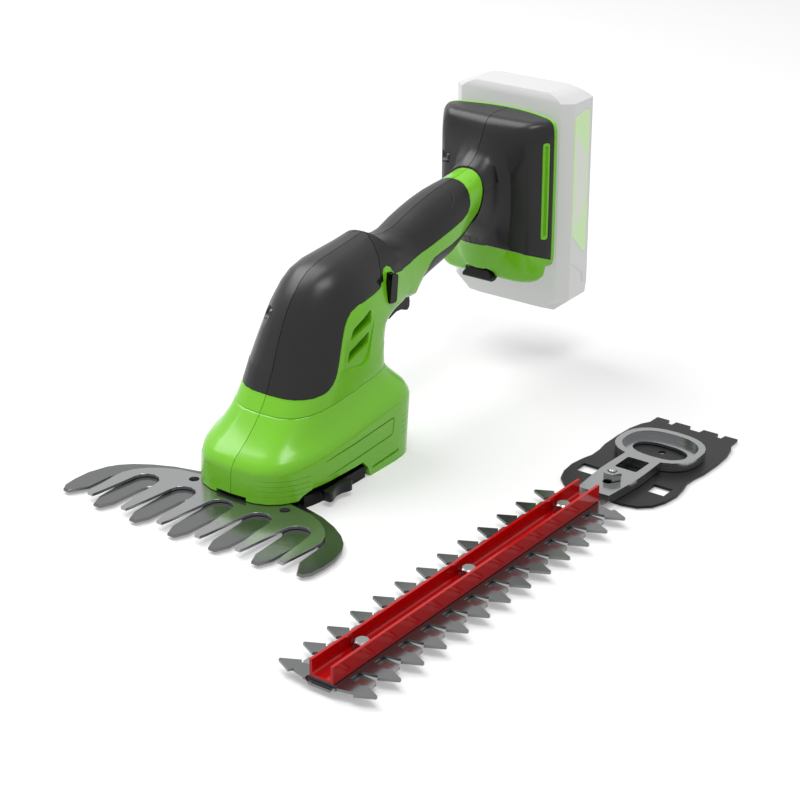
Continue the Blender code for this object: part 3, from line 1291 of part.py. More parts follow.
def make_mover(paints):
    """Moving comb with its strip and yoke ring in one sheet."""
    tooth = [(MOVER_ROOT, -MOVER_BASE_HALF), (MOVER_TIP - 1.2, -MOVER_TIP_HALF),
             (MOVER_TIP, 1.2 - MOVER_TIP_HALF), (MOVER_TIP, MOVER_TIP_HALF - 1.2),
             (MOVER_TIP - 1.2, MOVER_TIP_HALF), (MOVER_ROOT, MOVER_BASE_HALF)]
    nose = NOSE_REAR + STROKE + 2 * GAP
    front = [(-STRIP_NARROW, nose), (STRIP_NARROW, nose)]
    tight, loose = yoke_room()
    strip = [(STRIP_HALF, STRIP_START), (STRIP_SHOULDER, STRIP_SHOULDER_START),
             (STRIP_SHOULDER, REAR_BOLT_Y + STRIP_SHOULDER_LENGTH),
             (STRIP_SHOULDER - 0.6, YOKE_Y - tight)]
    rear = strip + [(-x, y) for x, y in reversed(strip)]
    outline = comb_outline(tooth, MOVER_TEETH, HEDGE_PITCH / 2, front, rear)
    top = MOVER_LOW + MOVER_THICK
    mover = hedge_prism("hedge_moving_blade", outline, MOVER_LOW, top, paints["pale_steel"])
    middle = (HEDGE_X, HEDGE_Y + YOKE_Y)
    flange = oval(middle, loose + YOKE_WALL, tight + YOKE_WALL, YOKE_POWER, 28)
    join(mover, prism("tool", flange, "Z", MOVER_LOW, top))
    join(mover, hedge_prism("tool", rear, top - 0.3, top + YOKE_RISE))
    join(mover, prism("tool", flange, "Z", top - 0.3, top + YOKE_RISE))
    inner = oval(middle, loose, tight, YOKE_POWER, 28)
    cut(mover, prism("tool", inner, "Z", top, REACH))
    opening = oval(middle, YOKE_FLANGE_LONG, YOKE_FLANGE_SHORT, YOKE_POWER, 20)
    cut(mover, prism("tool", opening, "Z", -1.0, REACH))
    half, y0, y1 = STRIP_WINDOW
    cut(mover, hedge_prism("tool", rounded(rectangle(-half, half, y0, y1), 1.0, 2), -1.0,
                           REACH))
    reach = BOLT_RADIUS + GAP
    for place in BOLT_PLACES + [REAR_BOLT_Y]:
        slot = rounded(rectangle(-reach, reach, place - STROKE - reach,
                                 place + STROKE + reach), reach, 3)
        cut(mover, hedge_prism("tool", slot, -1.0, REACH))
    set_origin(mover, (HEDGE_X, HEDGE_Y + YOKE_Y, MOVER_LOW))


def make_channel(paints):
    half, wall = CHANNEL_HALF, CHANNEL_WALL
    floor = CHANNEL_LOW + CHANNEL_FLOOR
    outline = [(-half, CHANNEL_LOW), (half, CHANNEL_LOW), (half, CHANNEL_TOP),
               (half - wall, CHANNEL_TOP), (half - wall, floor + 0.6), (half - wall - 0.6, floor),
               (-half + wall + 0.6, floor), (-half + wall, floor + 0.6),
               (-half + wall, CHANNEL_TOP), (-half, CHANNEL_TOP)]
    outline = [(x + HEDGE_X, z) for x, z in outline]
    channel = prism("hedge_channel", outline, "Y", HEDGE_Y + CHANNEL_START,
                    HEDGE_Y + CHANNEL_END, paints["red"])
    for place in BOLT_PLACES:
        hole = circle((0.0, place), BOLT_RADIUS + GAP, 12)
        cut(channel, hedge_prism("tool", hole, -1.0, REACH))


def hexagon(centre, radius):
    return [(centre[0] + radius * math.cos(math.pi * k / 3),
             centre[1] + radius * math.sin(math.pi * k / 3)) for k in range(6)]


def make_bolts(paints):
    seat = CHANNEL_LOW + CHANNEL_FLOOR + GAP
    for number, place in enumerate(BOLT_PLACES, start=1):
        centre = (HEDGE_X, HEDGE_Y + place)
        bolt = turned("channel_bolt_%d" % number,
                      [(BOLT_RADIUS, NUT_LOW + 0.1), (BOLT_RADIUS, seat),
                       (WASHER_RADIUS - 0.4, seat), (WASHER_RADIUS - 0.4, seat + WASHER_THICK)],
                      "Z", centre, 16, paints["chrome"])
        high = seat + WASHER_THICK + BOLT_HEAD_HEIGHT
        head = prism("tool", hexagon(centre, BOLT_HEAD_RADIUS), "Z", seat + WASHER_THICK - 0.2,
                     high)
        dome = turned("tool", [(BOLT_HEAD_RADIUS + 1.0, seat), (BOLT_HEAD_RADIUS, high - 0.8),
                               (BOLT_HEAD_RADIUS - 0.9, high)], "Z", centre, 16)
        join(bolt, common(head, dome))
        nut = prism("channel_nut_%d" % number, hexagon(centre, WASHER_RADIUS), "Z", NUT_LOW,
                    NUT_LOW + NUT_HEIGHT, paints["chrome"])
        cut(nut, prism("tool", circle(centre, BOLT_RADIUS + GAP, 12), "Z", -1.0, REACH))
    centre = (HEDGE_X, HEDGE_Y + REAR_BOLT_Y)
    nut_low = MOVER_LOW + MOVER_THICK + YOKE_RISE + GAP
    turned("rear_bolt", [(BOLT_RADIUS + 1.6, 0.0), (BOLT_RADIUS + 1.6, PLATE_LOW - GAP),
                         (BOLT_RADIUS, PLATE_LOW - GAP), (BOLT_RADIUS, REAR_BOLT_TOP - 0.6),
                         (BOLT_RADIUS - 0.6, REAR_BOLT_TOP)], "Z", centre, 16,
           paints["chrome"])
    nut = prism("rear_nut", hexagon(centre, REAR_NUT_RADIUS), "Z", nut_low,
                nut_low + REAR_NUT_HEIGHT, paints["chrome"])
    cut(nut, prism("tool", circle(centre, BOLT_RADIUS + GAP, 12), "Z", -1.0, REACH))


def set_origin(item, place):
    """Put the object's own origin on its joint axis and leave the mesh where it is."""
    offset = Vector(place) * MM
    item.data.transform(Matrix.Translation(-offset))
    item.location = offset


def shade(item):
    """Smooth the curved faces and keep the real corners sharp."""
    work = bmesh.new()
    work.from_mesh(item.data)
    bmesh.ops.remove_doubles(work, verts=work.verts, dist=0.000002)
    bmesh.ops.recalc_face_normals(work, faces=work.faces)
    for face in work.faces:
        face.smooth = True
    for edge in work.edges:
        edge.smooth = len(edge.link_faces) == 2 and edge.calc_face_angle(0.0) < SHARP_ANGLE
    work.to_mesh(item.data)
    work.free()


def make_paints():
    return {
        "green": paint("lime_plastic", GREEN, 0.28),
        "black": paint("black_plastic", BLACK, 0.42),
        "soft": paint("soft_black", SOFT_BLACK, 0.55),
        "gloss": paint("gloss_black", SOFT_BLACK, 0.18),
        "grey": paint("dark_grey", BLACK, 0.35),
        "plate": paint("black_plate", SOFT_BLACK, 0.40, 0.2),
        "dark_steel": paint("dark_steel", DARK_STEEL, 0.38, 0.9),
        "steel": paint("blade_steel", PALE_STEEL, 0.34, 0.9),
        "pale_steel": paint("pale_steel", PALE_STEEL, 0.30, 0.95),
        "chrome": paint("bright_steel", CHROME, 0.16, 1.0),
        "red": paint("red_paint", RED, 0.25, 0.1),
        "ghost": paint("battery_plastic", PALE_GREY, 0.45),
        "pale_green": paint("panel_green", PALE_GREEN, 0.45),
        "brass": paint("brass", BRASS, 0.35, 0.9),
        "motor": paint("motor_can", MOTOR_GREY, 0.35, 0.8),
        "cast": paint("cast_metal", MOTOR_GREY, 0.55, 0.7),
    }


def build():
    clear_scene()
    paints = make_paints()
    make_head(paints)
    make_screw("hood_screw", HOOD_SCREW, paints["chrome"])
    make_screw("dock_screw", DOCK_SCREW, paints["chrome"])
    make_screw("base_screw", BASE_SCREW, paints["chrome"])
    make_motor(paints)
    make_drive(paints)
    make_gearbox(paints)
    make_mount_plate(paints)
    make_fixed_blade(paints)
    make_moving_blade(paints)
    make_rivets(paints)
    make_release_buttons(paints)
    make_trigger(paints)
    make_switch(paints)
    make_lock_off(paints)
    make_dock(paints)
    make_latch(paints)
    make_battery(paints)
    make_terminals(paints)
    make_hedge_plate(paints)
    make_guard(paints)
    make_mover(paints)
    make_channel(paints)
    make_bolts(paints)
    for item in bpy.data.objects:
        shade(item)


build()
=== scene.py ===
"""Cordless shrub shears and their loose hedge blade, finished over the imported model.

Everything is in metres, in the model's own frame: the floor is Z = 0, the grass blade points
towards -Y, the battery towards +Y, and the loose hedge blade lies on the +X side. Sizes
inside finishes are in millimetres.
"""

import math

import bmesh
import bpy
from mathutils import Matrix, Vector


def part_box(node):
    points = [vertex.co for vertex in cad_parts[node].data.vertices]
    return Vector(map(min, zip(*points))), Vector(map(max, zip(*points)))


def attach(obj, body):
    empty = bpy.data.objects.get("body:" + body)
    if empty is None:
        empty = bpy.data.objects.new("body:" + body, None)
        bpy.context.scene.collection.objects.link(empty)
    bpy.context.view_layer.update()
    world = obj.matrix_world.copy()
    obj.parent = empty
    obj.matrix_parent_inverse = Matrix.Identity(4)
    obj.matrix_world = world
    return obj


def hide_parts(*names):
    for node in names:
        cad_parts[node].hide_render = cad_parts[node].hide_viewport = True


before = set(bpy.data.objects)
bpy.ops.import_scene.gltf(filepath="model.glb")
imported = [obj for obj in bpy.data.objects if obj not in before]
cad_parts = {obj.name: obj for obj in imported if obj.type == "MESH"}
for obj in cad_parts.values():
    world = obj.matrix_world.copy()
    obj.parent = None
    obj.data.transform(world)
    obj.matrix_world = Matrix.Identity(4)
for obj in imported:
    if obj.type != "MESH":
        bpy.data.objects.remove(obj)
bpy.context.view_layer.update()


# The two lime shells of the head. They are glossy moulded plastic, joined on the middle line
# by screws, with louvres let into the sides and fine moulded lines round the front corners.
LIME = (0.170, 0.530, 0.010)
SHELL_EDGE = 0.0005
MM = 1000.0
MERGE_DISTANCE = 0.000003
FLAT_ANGLE = math.radians(0.6)
SHARP_ANGLE = math.radians(34.0)
EDGE_SEGMENTS = 2
MIX_FACTOR, MIX_FIRST, MIX_SECOND, MIX_RESULT = 0, 6, 7, 2


class Value:
    """One socket of a finish, so that sums on it read as plain arithmetic."""

    def __init__(self, finish, socket):
        self.finish = finish
        self.socket = socket

    def maths(self, operation, *others):
        inputs = {i: v for i, v in enumerate((self, *others))}
        return self.finish.add("ShaderNodeMath", {"operation": operation}, inputs)

    def __add__(self, other):
        return self.maths("ADD", other)

    __radd__ = __add__

    def __sub__(self, other):
        return self.maths("SUBTRACT", other)

    def __rsub__(self, other):
        return self.maths("MULTIPLY_ADD", -1.0, other)

    def __mul__(self, other):
        return self.maths("MULTIPLY", other)

    __rmul__ = __mul__

    def __truediv__(self, other):
        return self.maths("DIVIDE", other)

    def __pow__(self, other):
        return self.maths("POWER", other)

    def __abs__(self):
        return self.maths("ABSOLUTE")

    def __lt__(self, other):
        return self.maths("LESS_THAN", other)

    def __gt__(self, other):
        return self.maths("GREATER_THAN", other)

    def wrap(self, high, low):
        return self.maths("WRAP", high, low)

    def fade(self, start, end):
        """0 at start and 1 at end, with soft ends."""
        settings = {"interpolation_type": "SMOOTHSTEP"}
        return self.finish.add("ShaderNodeMapRange", settings, {"Value": self, "From Min": start,
                               "From Max": end})

    def line(self, middle, width, core=0.25, rim=0.75):
        """1 in a line about a value, fading between two shares of its width from the middle."""
        return 1.0 - abs(self - middle).fade(width * core, width * rim)


class Finish:
    """A material with its shader; what varies over the surface is fed in as values."""

    def __init__(self, name, colour, roughness, metallic=0.0, **constants):
        self.material = bpy.data.materials.new(name)
        self.material.use_nodes = True
        self.tree = self.material.node_tree
        self.shader = self.tree.nodes["Principled BSDF"]
        self.colour = colour
        self.shader.inputs["Base Color"].default_value = (*colour, 1.0)
        self.shader.inputs["Roughness"].default_value = roughness
        self.shader.inputs["Metallic"].default_value = metallic
        for key, number in constants.items():
            socket = key.replace("_", " ").title().replace("Ior", "IOR")
            self.shader.inputs[socket].default_value = number
        self.material.diffuse_color = (*colour, 1.0)

    def add(self, kind, settings, inputs, output=0):
        """Any node: its settings first, then the values or links of its sockets."""
        node = self.tree.nodes.new(kind)
        for key, setting in settings.items():
            setattr(node, key, setting)
        for key, value in inputs.items():
            self.join(value, node.inputs[key])
        return Value(self, node.outputs[output])

    def join(self, value, socket):
        if isinstance(value, Value):
            self.tree.links.new(value.socket, socket)
        else:
            socket.default_value = value

    def place(self):
        """Position on the object in millimetres, as three values."""
        seat = self.add("ShaderNodeTexCoord", {}, {}, output="Object")
        scaled = self.add("ShaderNodeVectorMath", {"operation": "SCALE"},
                          {0: seat, "Scale": MM})
        split = self.add("ShaderNodeSeparateXYZ", {}, {0: scaled}).socket.node
        return [Value(self, split.outputs[i]) for i in range(3)]

    def grain(self, size, detail=2.0, stretch=(1.0, 1.0, 1.0)):
        """Noise from 0 to 1 whose lumps are about size millimetres, stretched along the axes."""
        seat = self.add("ShaderNodeTexCoord", {}, {}, output="Object")
        scale = tuple(MM / (size * s) for s in stretch)
        mapped = self.add("ShaderNodeMapping", {}, {"Vector": seat, "Scale": scale})
        return self.add("ShaderNodeTexNoise", {}, {"Vector": mapped, "Scale": 1.0,
                        "Detail": detail})

    def vary_colour(self, mask, second):
        """Colour that turns from the finish's own to a second where the mask is 1."""
        inputs = {MIX_FACTOR: mask, MIX_FIRST: (*self.colour, 1.0), MIX_SECOND: (*second, 1.0)}
        blend = self.add("ShaderNodeMix", {"data_type": "RGBA"}, inputs, output=MIX_RESULT)
        self.join(blend, self.shader.inputs["Base Color"])

    def wear(self, low, spread, *grain):
        """Roughness that wanders from low to low + spread in the patches of a grain."""
        self.join(low + spread * self.grain(*grain), self.shader.inputs["Roughness"])

    def relief(self, height, depth):
        """Height from 0 to 1 raised to a depth in millimetres."""
        bump = self.add("ShaderNodeBump", {}, {"Strength": 1.0, "Distance": depth / MM,
                        "Height": height})
        self.join(bump, self.shader.inputs["Normal"])

    def glow(self, colour):
        self.shader.inputs["Emission Color"].default_value = (*colour, 1.0)


def copied_form(node):
    """The CAD node's triangles merged into whole faces, in a new bmesh."""
    work = bmesh.new()
    work.from_mesh(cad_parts[node].data)
    bmesh.ops.remove_doubles(work, verts=work.verts, dist=MERGE_DISTANCE)
    bmesh.ops.dissolve_limit(work, angle_limit=FLAT_ANGLE, verts=work.verts, edges=work.edges)
    for face in work.faces:
        face.material_index = 0
    return work


def finished(work, node, body, finishes, edge=0.0):
    """Turn a bmesh into the piece that stands for a CAD node, with softly rounded edges."""
    mesh = bpy.data.meshes.new(node + "_finished")
    for face in work.faces:
        face.smooth = True
    for rim in work.edges:
        rim.smooth = len(rim.link_faces) == 2 and rim.calc_face_angle(0.0) < SHARP_ANGLE
    work.to_mesh(mesh)
    work.free()
    if "custom_normal" in mesh.attributes:
        mesh.attributes.remove(mesh.attributes["custom_normal"])
    mesh.materials.clear()
    for finish in finishes:
        mesh.materials.append(finish.material)
    piece = bpy.data.objects.new(node + "_finished", mesh)
    bpy.context.collection.objects.link(piece)
    if edge:
        rounding = piece.modifiers.new("rounding", "BEVEL")
        rounding.width = edge
        rounding.segments = EDGE_SEGMENTS
        rounding.limit_method = "ANGLE"
        rounding.angle_limit = SHARP_ANGLE
        rounding.use_clamp_overlap = True
        normals = piece.modifiers.new("normals", "WEIGHTED_NORMAL")
        normals.keep_sharp = False
    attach(piece, body)
    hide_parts(node)
    return piece


def dress(node, body, finish, edge=0.0):
    """A CAD node's form in one finish, its edges rounded to a width in metres."""
    return finished(copied_form(node), node, body, [finish], edge)


LINE_PITCH = 2.47
LINE_WIDTH = 0.5
LINE_MARGIN = 0.8
LINE_DEPTH = 0.12
LINE_PAINTED_SHADE = 0.40
LINE_PAINTED_DARKNESS = 0.45
LOWEST_LINE = 8.1
HIGHEST_LINE = LOWEST_LINE + 3 * LINE_PITCH
CORNER_REAR = -29.5
CORNER_INNER = 8.0
CORNER_OUTER = 27.0
REAR_LINE = 12.5
REAR_LINE_HALF_PITCH = LINE_PITCH * 0.6
REAR_LINES_LOW = 11.7
REAR_LINES_HIGH = 22.2
REAR_LINES_START = 37.5
REAR_LINES_END = 60.0
REAR_LINES_SIDE = 24.0
SKIN_SHARE = 0.03

lime = Finish("lime_gloss", LIME, 0.24, specular_ior_level=0.38, coat_weight=0.18,
              coat_roughness=0.10)
x, y, z = lime.place()
rows = (z - LOWEST_LINE).wrap(LINE_PITCH / 2, -LINE_PITCH / 2).line(0.0, LINE_WIDTH)
band = (z > LOWEST_LINE - LINE_MARGIN) * (z < HIGHEST_LINE + LINE_MARGIN)
corner = (y < CORNER_REAR) * abs(x).fade(CORNER_INNER, CORNER_OUTER)
rear_rows = (z - REAR_LINE).wrap(REAR_LINE_HALF_PITCH, -REAR_LINE_HALF_PITCH)
rear_band = (z > REAR_LINES_LOW) * (z < REAR_LINES_HIGH) * (abs(x) > REAR_LINES_SIDE)
rear_band = rear_band * (y > REAR_LINES_START) * (y < REAR_LINES_END)
lines = rows * band * corner + rear_rows.line(0.0, LINE_WIDTH) * rear_band
lime.wear(0.19, 0.08, 14.0, 3.0)
# The moulded lines are also painted darker: painted shade in their grooves.
lime.vary_colour(lines * LINE_PAINTED_SHADE, tuple(c * LINE_PAINTED_DARKNESS for c in LIME))
lime.relief(lime.grain(0.9) * SKIN_SHARE - lines, LINE_DEPTH)
for side in ("left", "right"):
    shell = dress("housing_" + side, "tool", lime, SHELL_EDGE)


# The black hood over the motor, in two halves. It is a satin moulding with a fine spark
# texture, and it laps over the lime shells along a thin joint.
HOOD_BLACK = (0.0080, 0.0080, 0.0084)

hood_satin = Finish("hood_satin", HOOD_BLACK, 0.30, specular_ior_level=0.36)
hood_satin.wear(0.27, 0.06, 9.0, 3.0)
hood_satin.relief(hood_satin.grain(0.35, 3.0), 0.010)
for side in ("left", "right"):
    hood = dress("hood_" + side, "tool", hood_satin, SHELL_EDGE)


# The grips above and under the handle. They are soft-touch rubber moulded over the lime
# shells, with a dull fine stipple and one thin groove that frames the palm pad.
RUBBER = (0.0050, 0.0050, 0.0054)
PAD_MIDDLE = 92.0
PAD_LENGTH = 20.5
PAD_WIDTH = 12.5
PAD_SQUARENESS = 4.0
PAD_FLOOR = 90.0
GROOVE_SHARE = 0.12
GROOVE_START = 9.0
GROOVE_FULL = 15.0
GROOVE_DEPTH = 0.16
STIPPLE_SHARE = 0.07

grip_rubber = Finish("grip_rubber", RUBBER, 0.32, specular_ior_level=0.34)
x, y, z = grip_rubber.place()
along = abs(y - PAD_MIDDLE)
oval = (along / PAD_LENGTH) ** PAD_SQUARENESS + (abs(x) / PAD_WIDTH) ** PAD_SQUARENESS
groove = oval.line(1.0, GROOVE_SHARE) * (z > PAD_FLOOR) * along.fade(GROOVE_START, GROOVE_FULL)
grip_rubber.wear(0.32, 0.10, 7.0)
grip_rubber.relief(grip_rubber.grain(0.28) * STIPPLE_SHARE - groove, GROOVE_DEPTH)
for node in ("grip_left", "grip_right", "undergrip_left", "undergrip_right"):
    grip = dress(node, "tool", grip_rubber, SHELL_EDGE)


# The battery dock behind the grip. Two black satin shells close round a lime frame that shows
# as a thin bowed rim, a band under the shells, the open foot that takes the battery, and an
# upright bar let into each side.
RIM_EDGE = 0.0004
PILL_EDGE = 0.00025

for side in ("left", "right"):
    dock = dress("dock_" + side, "tool", hood_satin, SHELL_EDGE)
for node, edge in (("dock_frame", RIM_EDGE), ("dock_pill_left", PILL_EDGE),
                   ("dock_pill_right", PILL_EDGE)):
    rim = dress(node, "tool", lime, edge)


# The trigger, the battery latch, the lock-off bar and the two release buttons. They are
# plain mouldings worked by a finger or thumb: dark satin, and gloss black for the lock-off.
KEY_GREY = (0.0075, 0.0075, 0.0080)
KEY_GLOSS = (0.003, 0.003, 0.003)
KEY_EDGE = 0.0006
LOCK_EDGE = 0.0009

key_satin = Finish("key_satin", KEY_GREY, 0.30, specular_ior_level=0.24)
key_satin.wear(0.26, 0.08, 5.0)
key_satin.relief(key_satin.grain(0.30), 0.012)
key_gloss = Finish("key_gloss", KEY_GLOSS, 0.10, specular_ior_level=0.22)
key_gloss.wear(0.08, 0.06, 4.0)
for node, body in (("trigger", "trigger"), ("battery_latch", "latch"),
                   ("release_button_left", "release_left"),
                   ("release_button_right", "release_right")):
    key = dress(node, body, key_satin, KEY_EDGE)
lock = dress("lock_off_bar", "lock_off", key_gloss, LOCK_EDGE)


# The battery. Its case and cover are pale plastic with broad flat bevels, and a bare coloured
# panel is set into each side. It is to read as a white ghost, so a weak glow pales it: painted
# light, as the battery is no lamp.
PALE_CASE = (0.370, 0.373, 0.371)
PALE_PANEL = (0.440, 0.460, 0.430)
PANEL_GREEN = (0.340, 0.560, 0.200)
PALE_PAINTED_GLOW = 0.27
WHITE = (1.0, 1.0, 1.0)
PANEL_PAINTED_GLOW = (0.9, 1.0, 0.8)
BATTERY_EDGE = 0.0006
PANEL_MIDDLE = 186.0
PANEL_FRONT = 180.9
PANEL_REAR = 192.2
GREEN_TOP = 119.0
GREEN_TOP_SLOPE = 1.3
GREEN_FOOT = 78.0
GREEN_FOOT_SLOPE = 1.7

pale_case = Finish("pale_case", PALE_CASE, 0.36, specular_ior_level=0.35,
                   emission_strength=PALE_PAINTED_GLOW)
pale_case.glow(WHITE)
pale_case.wear(0.32, 0.10, 11.0, 3.0)
pale_case.relief(pale_case.grain(0.5), 0.012)
pale_panel = Finish("pale_panel", PALE_PANEL, 0.40, emission_strength=PALE_PAINTED_GLOW)
pale_panel.glow(PANEL_PAINTED_GLOW)
x, y, z = pale_panel.place()
upper = z > GREEN_TOP - (y - PANEL_MIDDLE) * GREEN_TOP_SLOPE
lower = z < GREEN_FOOT + (y - PANEL_MIDDLE) * GREEN_FOOT_SLOPE
border = 1.0 - (y > PANEL_FRONT) * (y < PANEL_REAR)
pale_panel.vary_colour((upper + lower + border).maths("MINIMUM", 1.0), PANEL_GREEN)
pale_panel.wear(0.36, 0.08, 6.0)
for node, finish, slot in (("battery_case", pale_case, "battery_plastic"),
                           ("battery_cover", pale_case, "battery_plastic"),
                           ("battery_panel_left", pale_panel, "panel_green"),
                           ("battery_panel_right", pale_panel, "panel_green")):
    part = dress(node, "battery", finish, BATTERY_EDGE)


# The fixed grass blade and its black floor. The blade is stamped from sheet, coated dark and
# ground bright along the cutting edges; the floor is a moulding that clips into the head.
PLATE_BLACK = (0.0045, 0.0045, 0.0048)
COATED = (0.150, 0.152, 0.155)
GROUND = (0.400, 0.405, 0.410)
PLATE_EDGE = 0.0003
LONGEST_CURVE_EDGE = 0.0024
LEVEL_ROOM = 0.00005
CREASE = math.radians(60)
FIXED_GROUND_REAR = -0.058
FIXED_GROUND_WIDTH = 0.0004

coated_steel = Finish("coated_steel", COATED, 0.18, 0.93)
coated_steel.wear(0.15, 0.07, 3.0, 4.0, (0.35, 6.0, 1.0))
coated_steel.relief(coated_steel.grain(0.6, 3.0, (0.3, 5.0, 1.0)), 0.003)
ground_edge = Finish("ground_edge", GROUND, 0.22, 0.95)
ground_edge.wear(0.18, 0.12, 0.8, 2.0, (0.3, 3.0, 1.0))
floor_black = Finish("floor_black", PLATE_BLACK, 0.36, specular_ior_level=0.15)
floor_black.relief(floor_black.grain(0.4), 0.012)


def ground_edges(work, top, rear, width):
    """Grind the straight upper edges of a sheet ahead of a place along Y, as slot 1."""
    rims = [rim for rim in work.edges
            if all(abs(v.co.z - top) < LEVEL_ROOM and v.co.y < rear for v in rim.verts)
            and len(rim.link_faces) == 2 and rim.calc_face_angle(0.0) > CREASE
            and rim.calc_length() > LONGEST_CURVE_EDGE]
    bmesh.ops.bevel(work, geom=rims, affect="EDGES", offset=width, segments=1, profile=0.5,
                    material=1, clamp_overlap=True)


work = copied_form("grass_fixed_blade")
fixed_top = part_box("grass_fixed_blade")[1].z
ground_edges(work, fixed_top, FIXED_GROUND_REAR, FIXED_GROUND_WIDTH)
fixed = finished(work, "grass_fixed_blade", "tool", [coated_steel, ground_edge])
sole = dress("grass_mount_plate", "tool", floor_black, PLATE_EDGE)


# The moving grass blade with the raised oval yoke that the drive pushes. It is paler ground
# steel, bevelled along each tooth, and the right flanks of its teeth are ground dull.
PALE_STEEL = (0.330, 0.333, 0.338)
MOVER_TOP = 0.0046
MOVER_GROUND_REAR = -0.052
MOVER_GROUND_WIDTH = 0.0011
FLANK_FACING = 0.3
FLANK_SLOT = 2

pale_steel = Finish("pale_steel", PALE_STEEL, 0.18, 0.94)
pale_steel.wear(0.15, 0.07, 2.4, 4.0, (0.3, 6.0, 1.0))
pale_steel.relief(pale_steel.grain(0.5, 3.0, (0.3, 6.0, 1.0)), 0.003)
flank_steel = Finish("flank_steel", (0.480, 0.485, 0.490), 0.45, 0.80)
flank_steel.wear(0.42, 0.10, 0.8)
work = copied_form("grass_moving_blade")
for face in work.faces:
    if face.normal.x > FLANK_FACING and face.calc_center_median().y < MOVER_GROUND_REAR:
        face.material_index = FLANK_SLOT
ground_edges(work, MOVER_TOP, MOVER_GROUND_REAR, MOVER_GROUND_WIDTH)
mover = finished(work, "grass_moving_blade", "grass_blade",
                 [pale_steel, ground_edge, flank_steel])


# The black plate of the loose hedge blade. It is coated sheet with hooks and windows that
# clip it into the head.
plate_coat = Finish("plate_coat", PLATE_BLACK, 0.34, specular_ior_level=0.22)
plate_coat.wear(0.30, 0.10, 8.0, 3.0)
plate_coat.relief(plate_coat.grain(0.7), 0.015)
plate = dress("hedge_mount_plate", "tool", plate_coat, PLATE_EDGE)


# The moving comb of the hedge blade, stamped steel that slides under the guard. Its yoke ring
# stands up from the strip; the steep outer walls of strip and ring are painted near black, a
# painted reflection of the black plate, and the ring's inner walls are painted darker as painted
# shade.
RING_MIDDLE = Vector((0.1315, 0.1093, 0.0))
RING_FRONT = 0.095
STRIP_FRONT = 0.068
STEEPEST_TOP = 0.7
COMB_EDGE = 0.00025
WALL_REFLECTION_SLOT, RING_SHADE_SLOT = 1, 2

# Steep walls: painted reflection outside, painted shade inside the ring.
wall_painted_reflection = Finish("wall_painted_reflection", (0.030, 0.031, 0.032), 0.30, 0.80)
wall_painted_reflection.wear(0.26, 0.10, 5.0)
ring_painted_shade = Finish("ring_painted_shade", (0.170, 0.173, 0.176), 0.28, 0.90)
ring_painted_shade.wear(0.24, 0.10, 5.0)
work = copied_form("hedge_moving_blade")
for face in work.faces:
    middle = face.calc_center_median()
    if abs(face.normal.z) < STEEPEST_TOP and middle.y > STRIP_FRONT:
        inward = face.normal.dot(RING_MIDDLE - middle) > 0.0 and middle.y > RING_FRONT
        face.material_index = RING_SHADE_SLOT if inward else WALL_REFLECTION_SLOT
comb = finished(work, "hedge_moving_blade", "hedge_blade", [pale_steel, wall_painted_reflection, ring_painted_shade],
                COMB_EDGE)


# The guard comb over it, darker ground steel held down by the red channel. Its front end dips
# into a nose that the moving comb slides behind, and the top of the nose is rough and painted
# pale: a painted highlight.
NOSE_REAR = -0.1495
NOSE_HALF = 0.0082
NOSE_HIGHLIGHT_SLOT = 1
UPWARD = 0.5

guard_steel = Finish("guard_steel", (0.190, 0.193, 0.197), 0.18, 0.94)
guard_steel.wear(0.15, 0.08, 2.4, 4.0, (0.3, 6.0, 1.0))
nose_painted_highlight = Finish("nose_painted_highlight", (0.700, 0.705, 0.710), 0.55, 0.30)
nose_painted_highlight.wear(0.50, 0.10, 4.0)
work = copied_form("hedge_guard")
for face in work.faces:
    middle = face.calc_center_median()
    on_nose = middle.y < NOSE_REAR and abs(middle.x - RING_MIDDLE.x) < NOSE_HALF
    if on_nose and face.normal.z > UPWARD:
        face.material_index = NOSE_HIGHLIGHT_SLOT
guard = finished(work, "hedge_guard", "tool", [guard_steel, nose_painted_highlight])


# The red channel that stiffens the hedge blade. It is pressed steel sheet with gloss paint,
# held down by three bolts and nuts.
CHANNEL_RED = (0.440, 0.003, 0.004)
CHANNEL_EDGE = 0.0004

red_gloss = Finish("red_gloss", CHANNEL_RED, 0.10, specular_ior_level=0.28)
red_gloss.wear(0.08, 0.05, 12.0)
red_gloss.relief(red_gloss.grain(1.6), 0.010)
channel = dress("hedge_channel", "tool", red_gloss, CHANNEL_EDGE)


# Bolts, nuts, screws, rivets and pins. All are steel, turned or stamped and bright plated;
# the case screws sit deep in their holes, so their plating is painted dark: painted shade.
FASTENER_EDGE = 0.0002

bright_plate = Finish("bright_plate", (0.34, 0.344, 0.348), 0.20, 1.0)
bright_plate.wear(0.16, 0.10, 1.2, 3.0)
dull_plate = Finish("dull_plate", (0.070, 0.071, 0.073), 0.30, 0.90)
dull_plate.wear(0.26, 0.10, 1.2, 3.0)
for node in ("channel_bolt_1", "channel_bolt_2", "channel_bolt_3", "channel_nut_1",
             "channel_nut_2", "channel_nut_3", "rear_bolt", "rear_nut", "hood_screw",
             "dock_screw", "base_screw", "blade_rivet_left", "blade_rivet_right",
             "trigger_pin", "latch_pin", "gear_shaft"):
    plating = dull_plate if node.endswith("screw") else bright_plate
    fastener = dress(node, "tool", plating, FASTENER_EDGE)


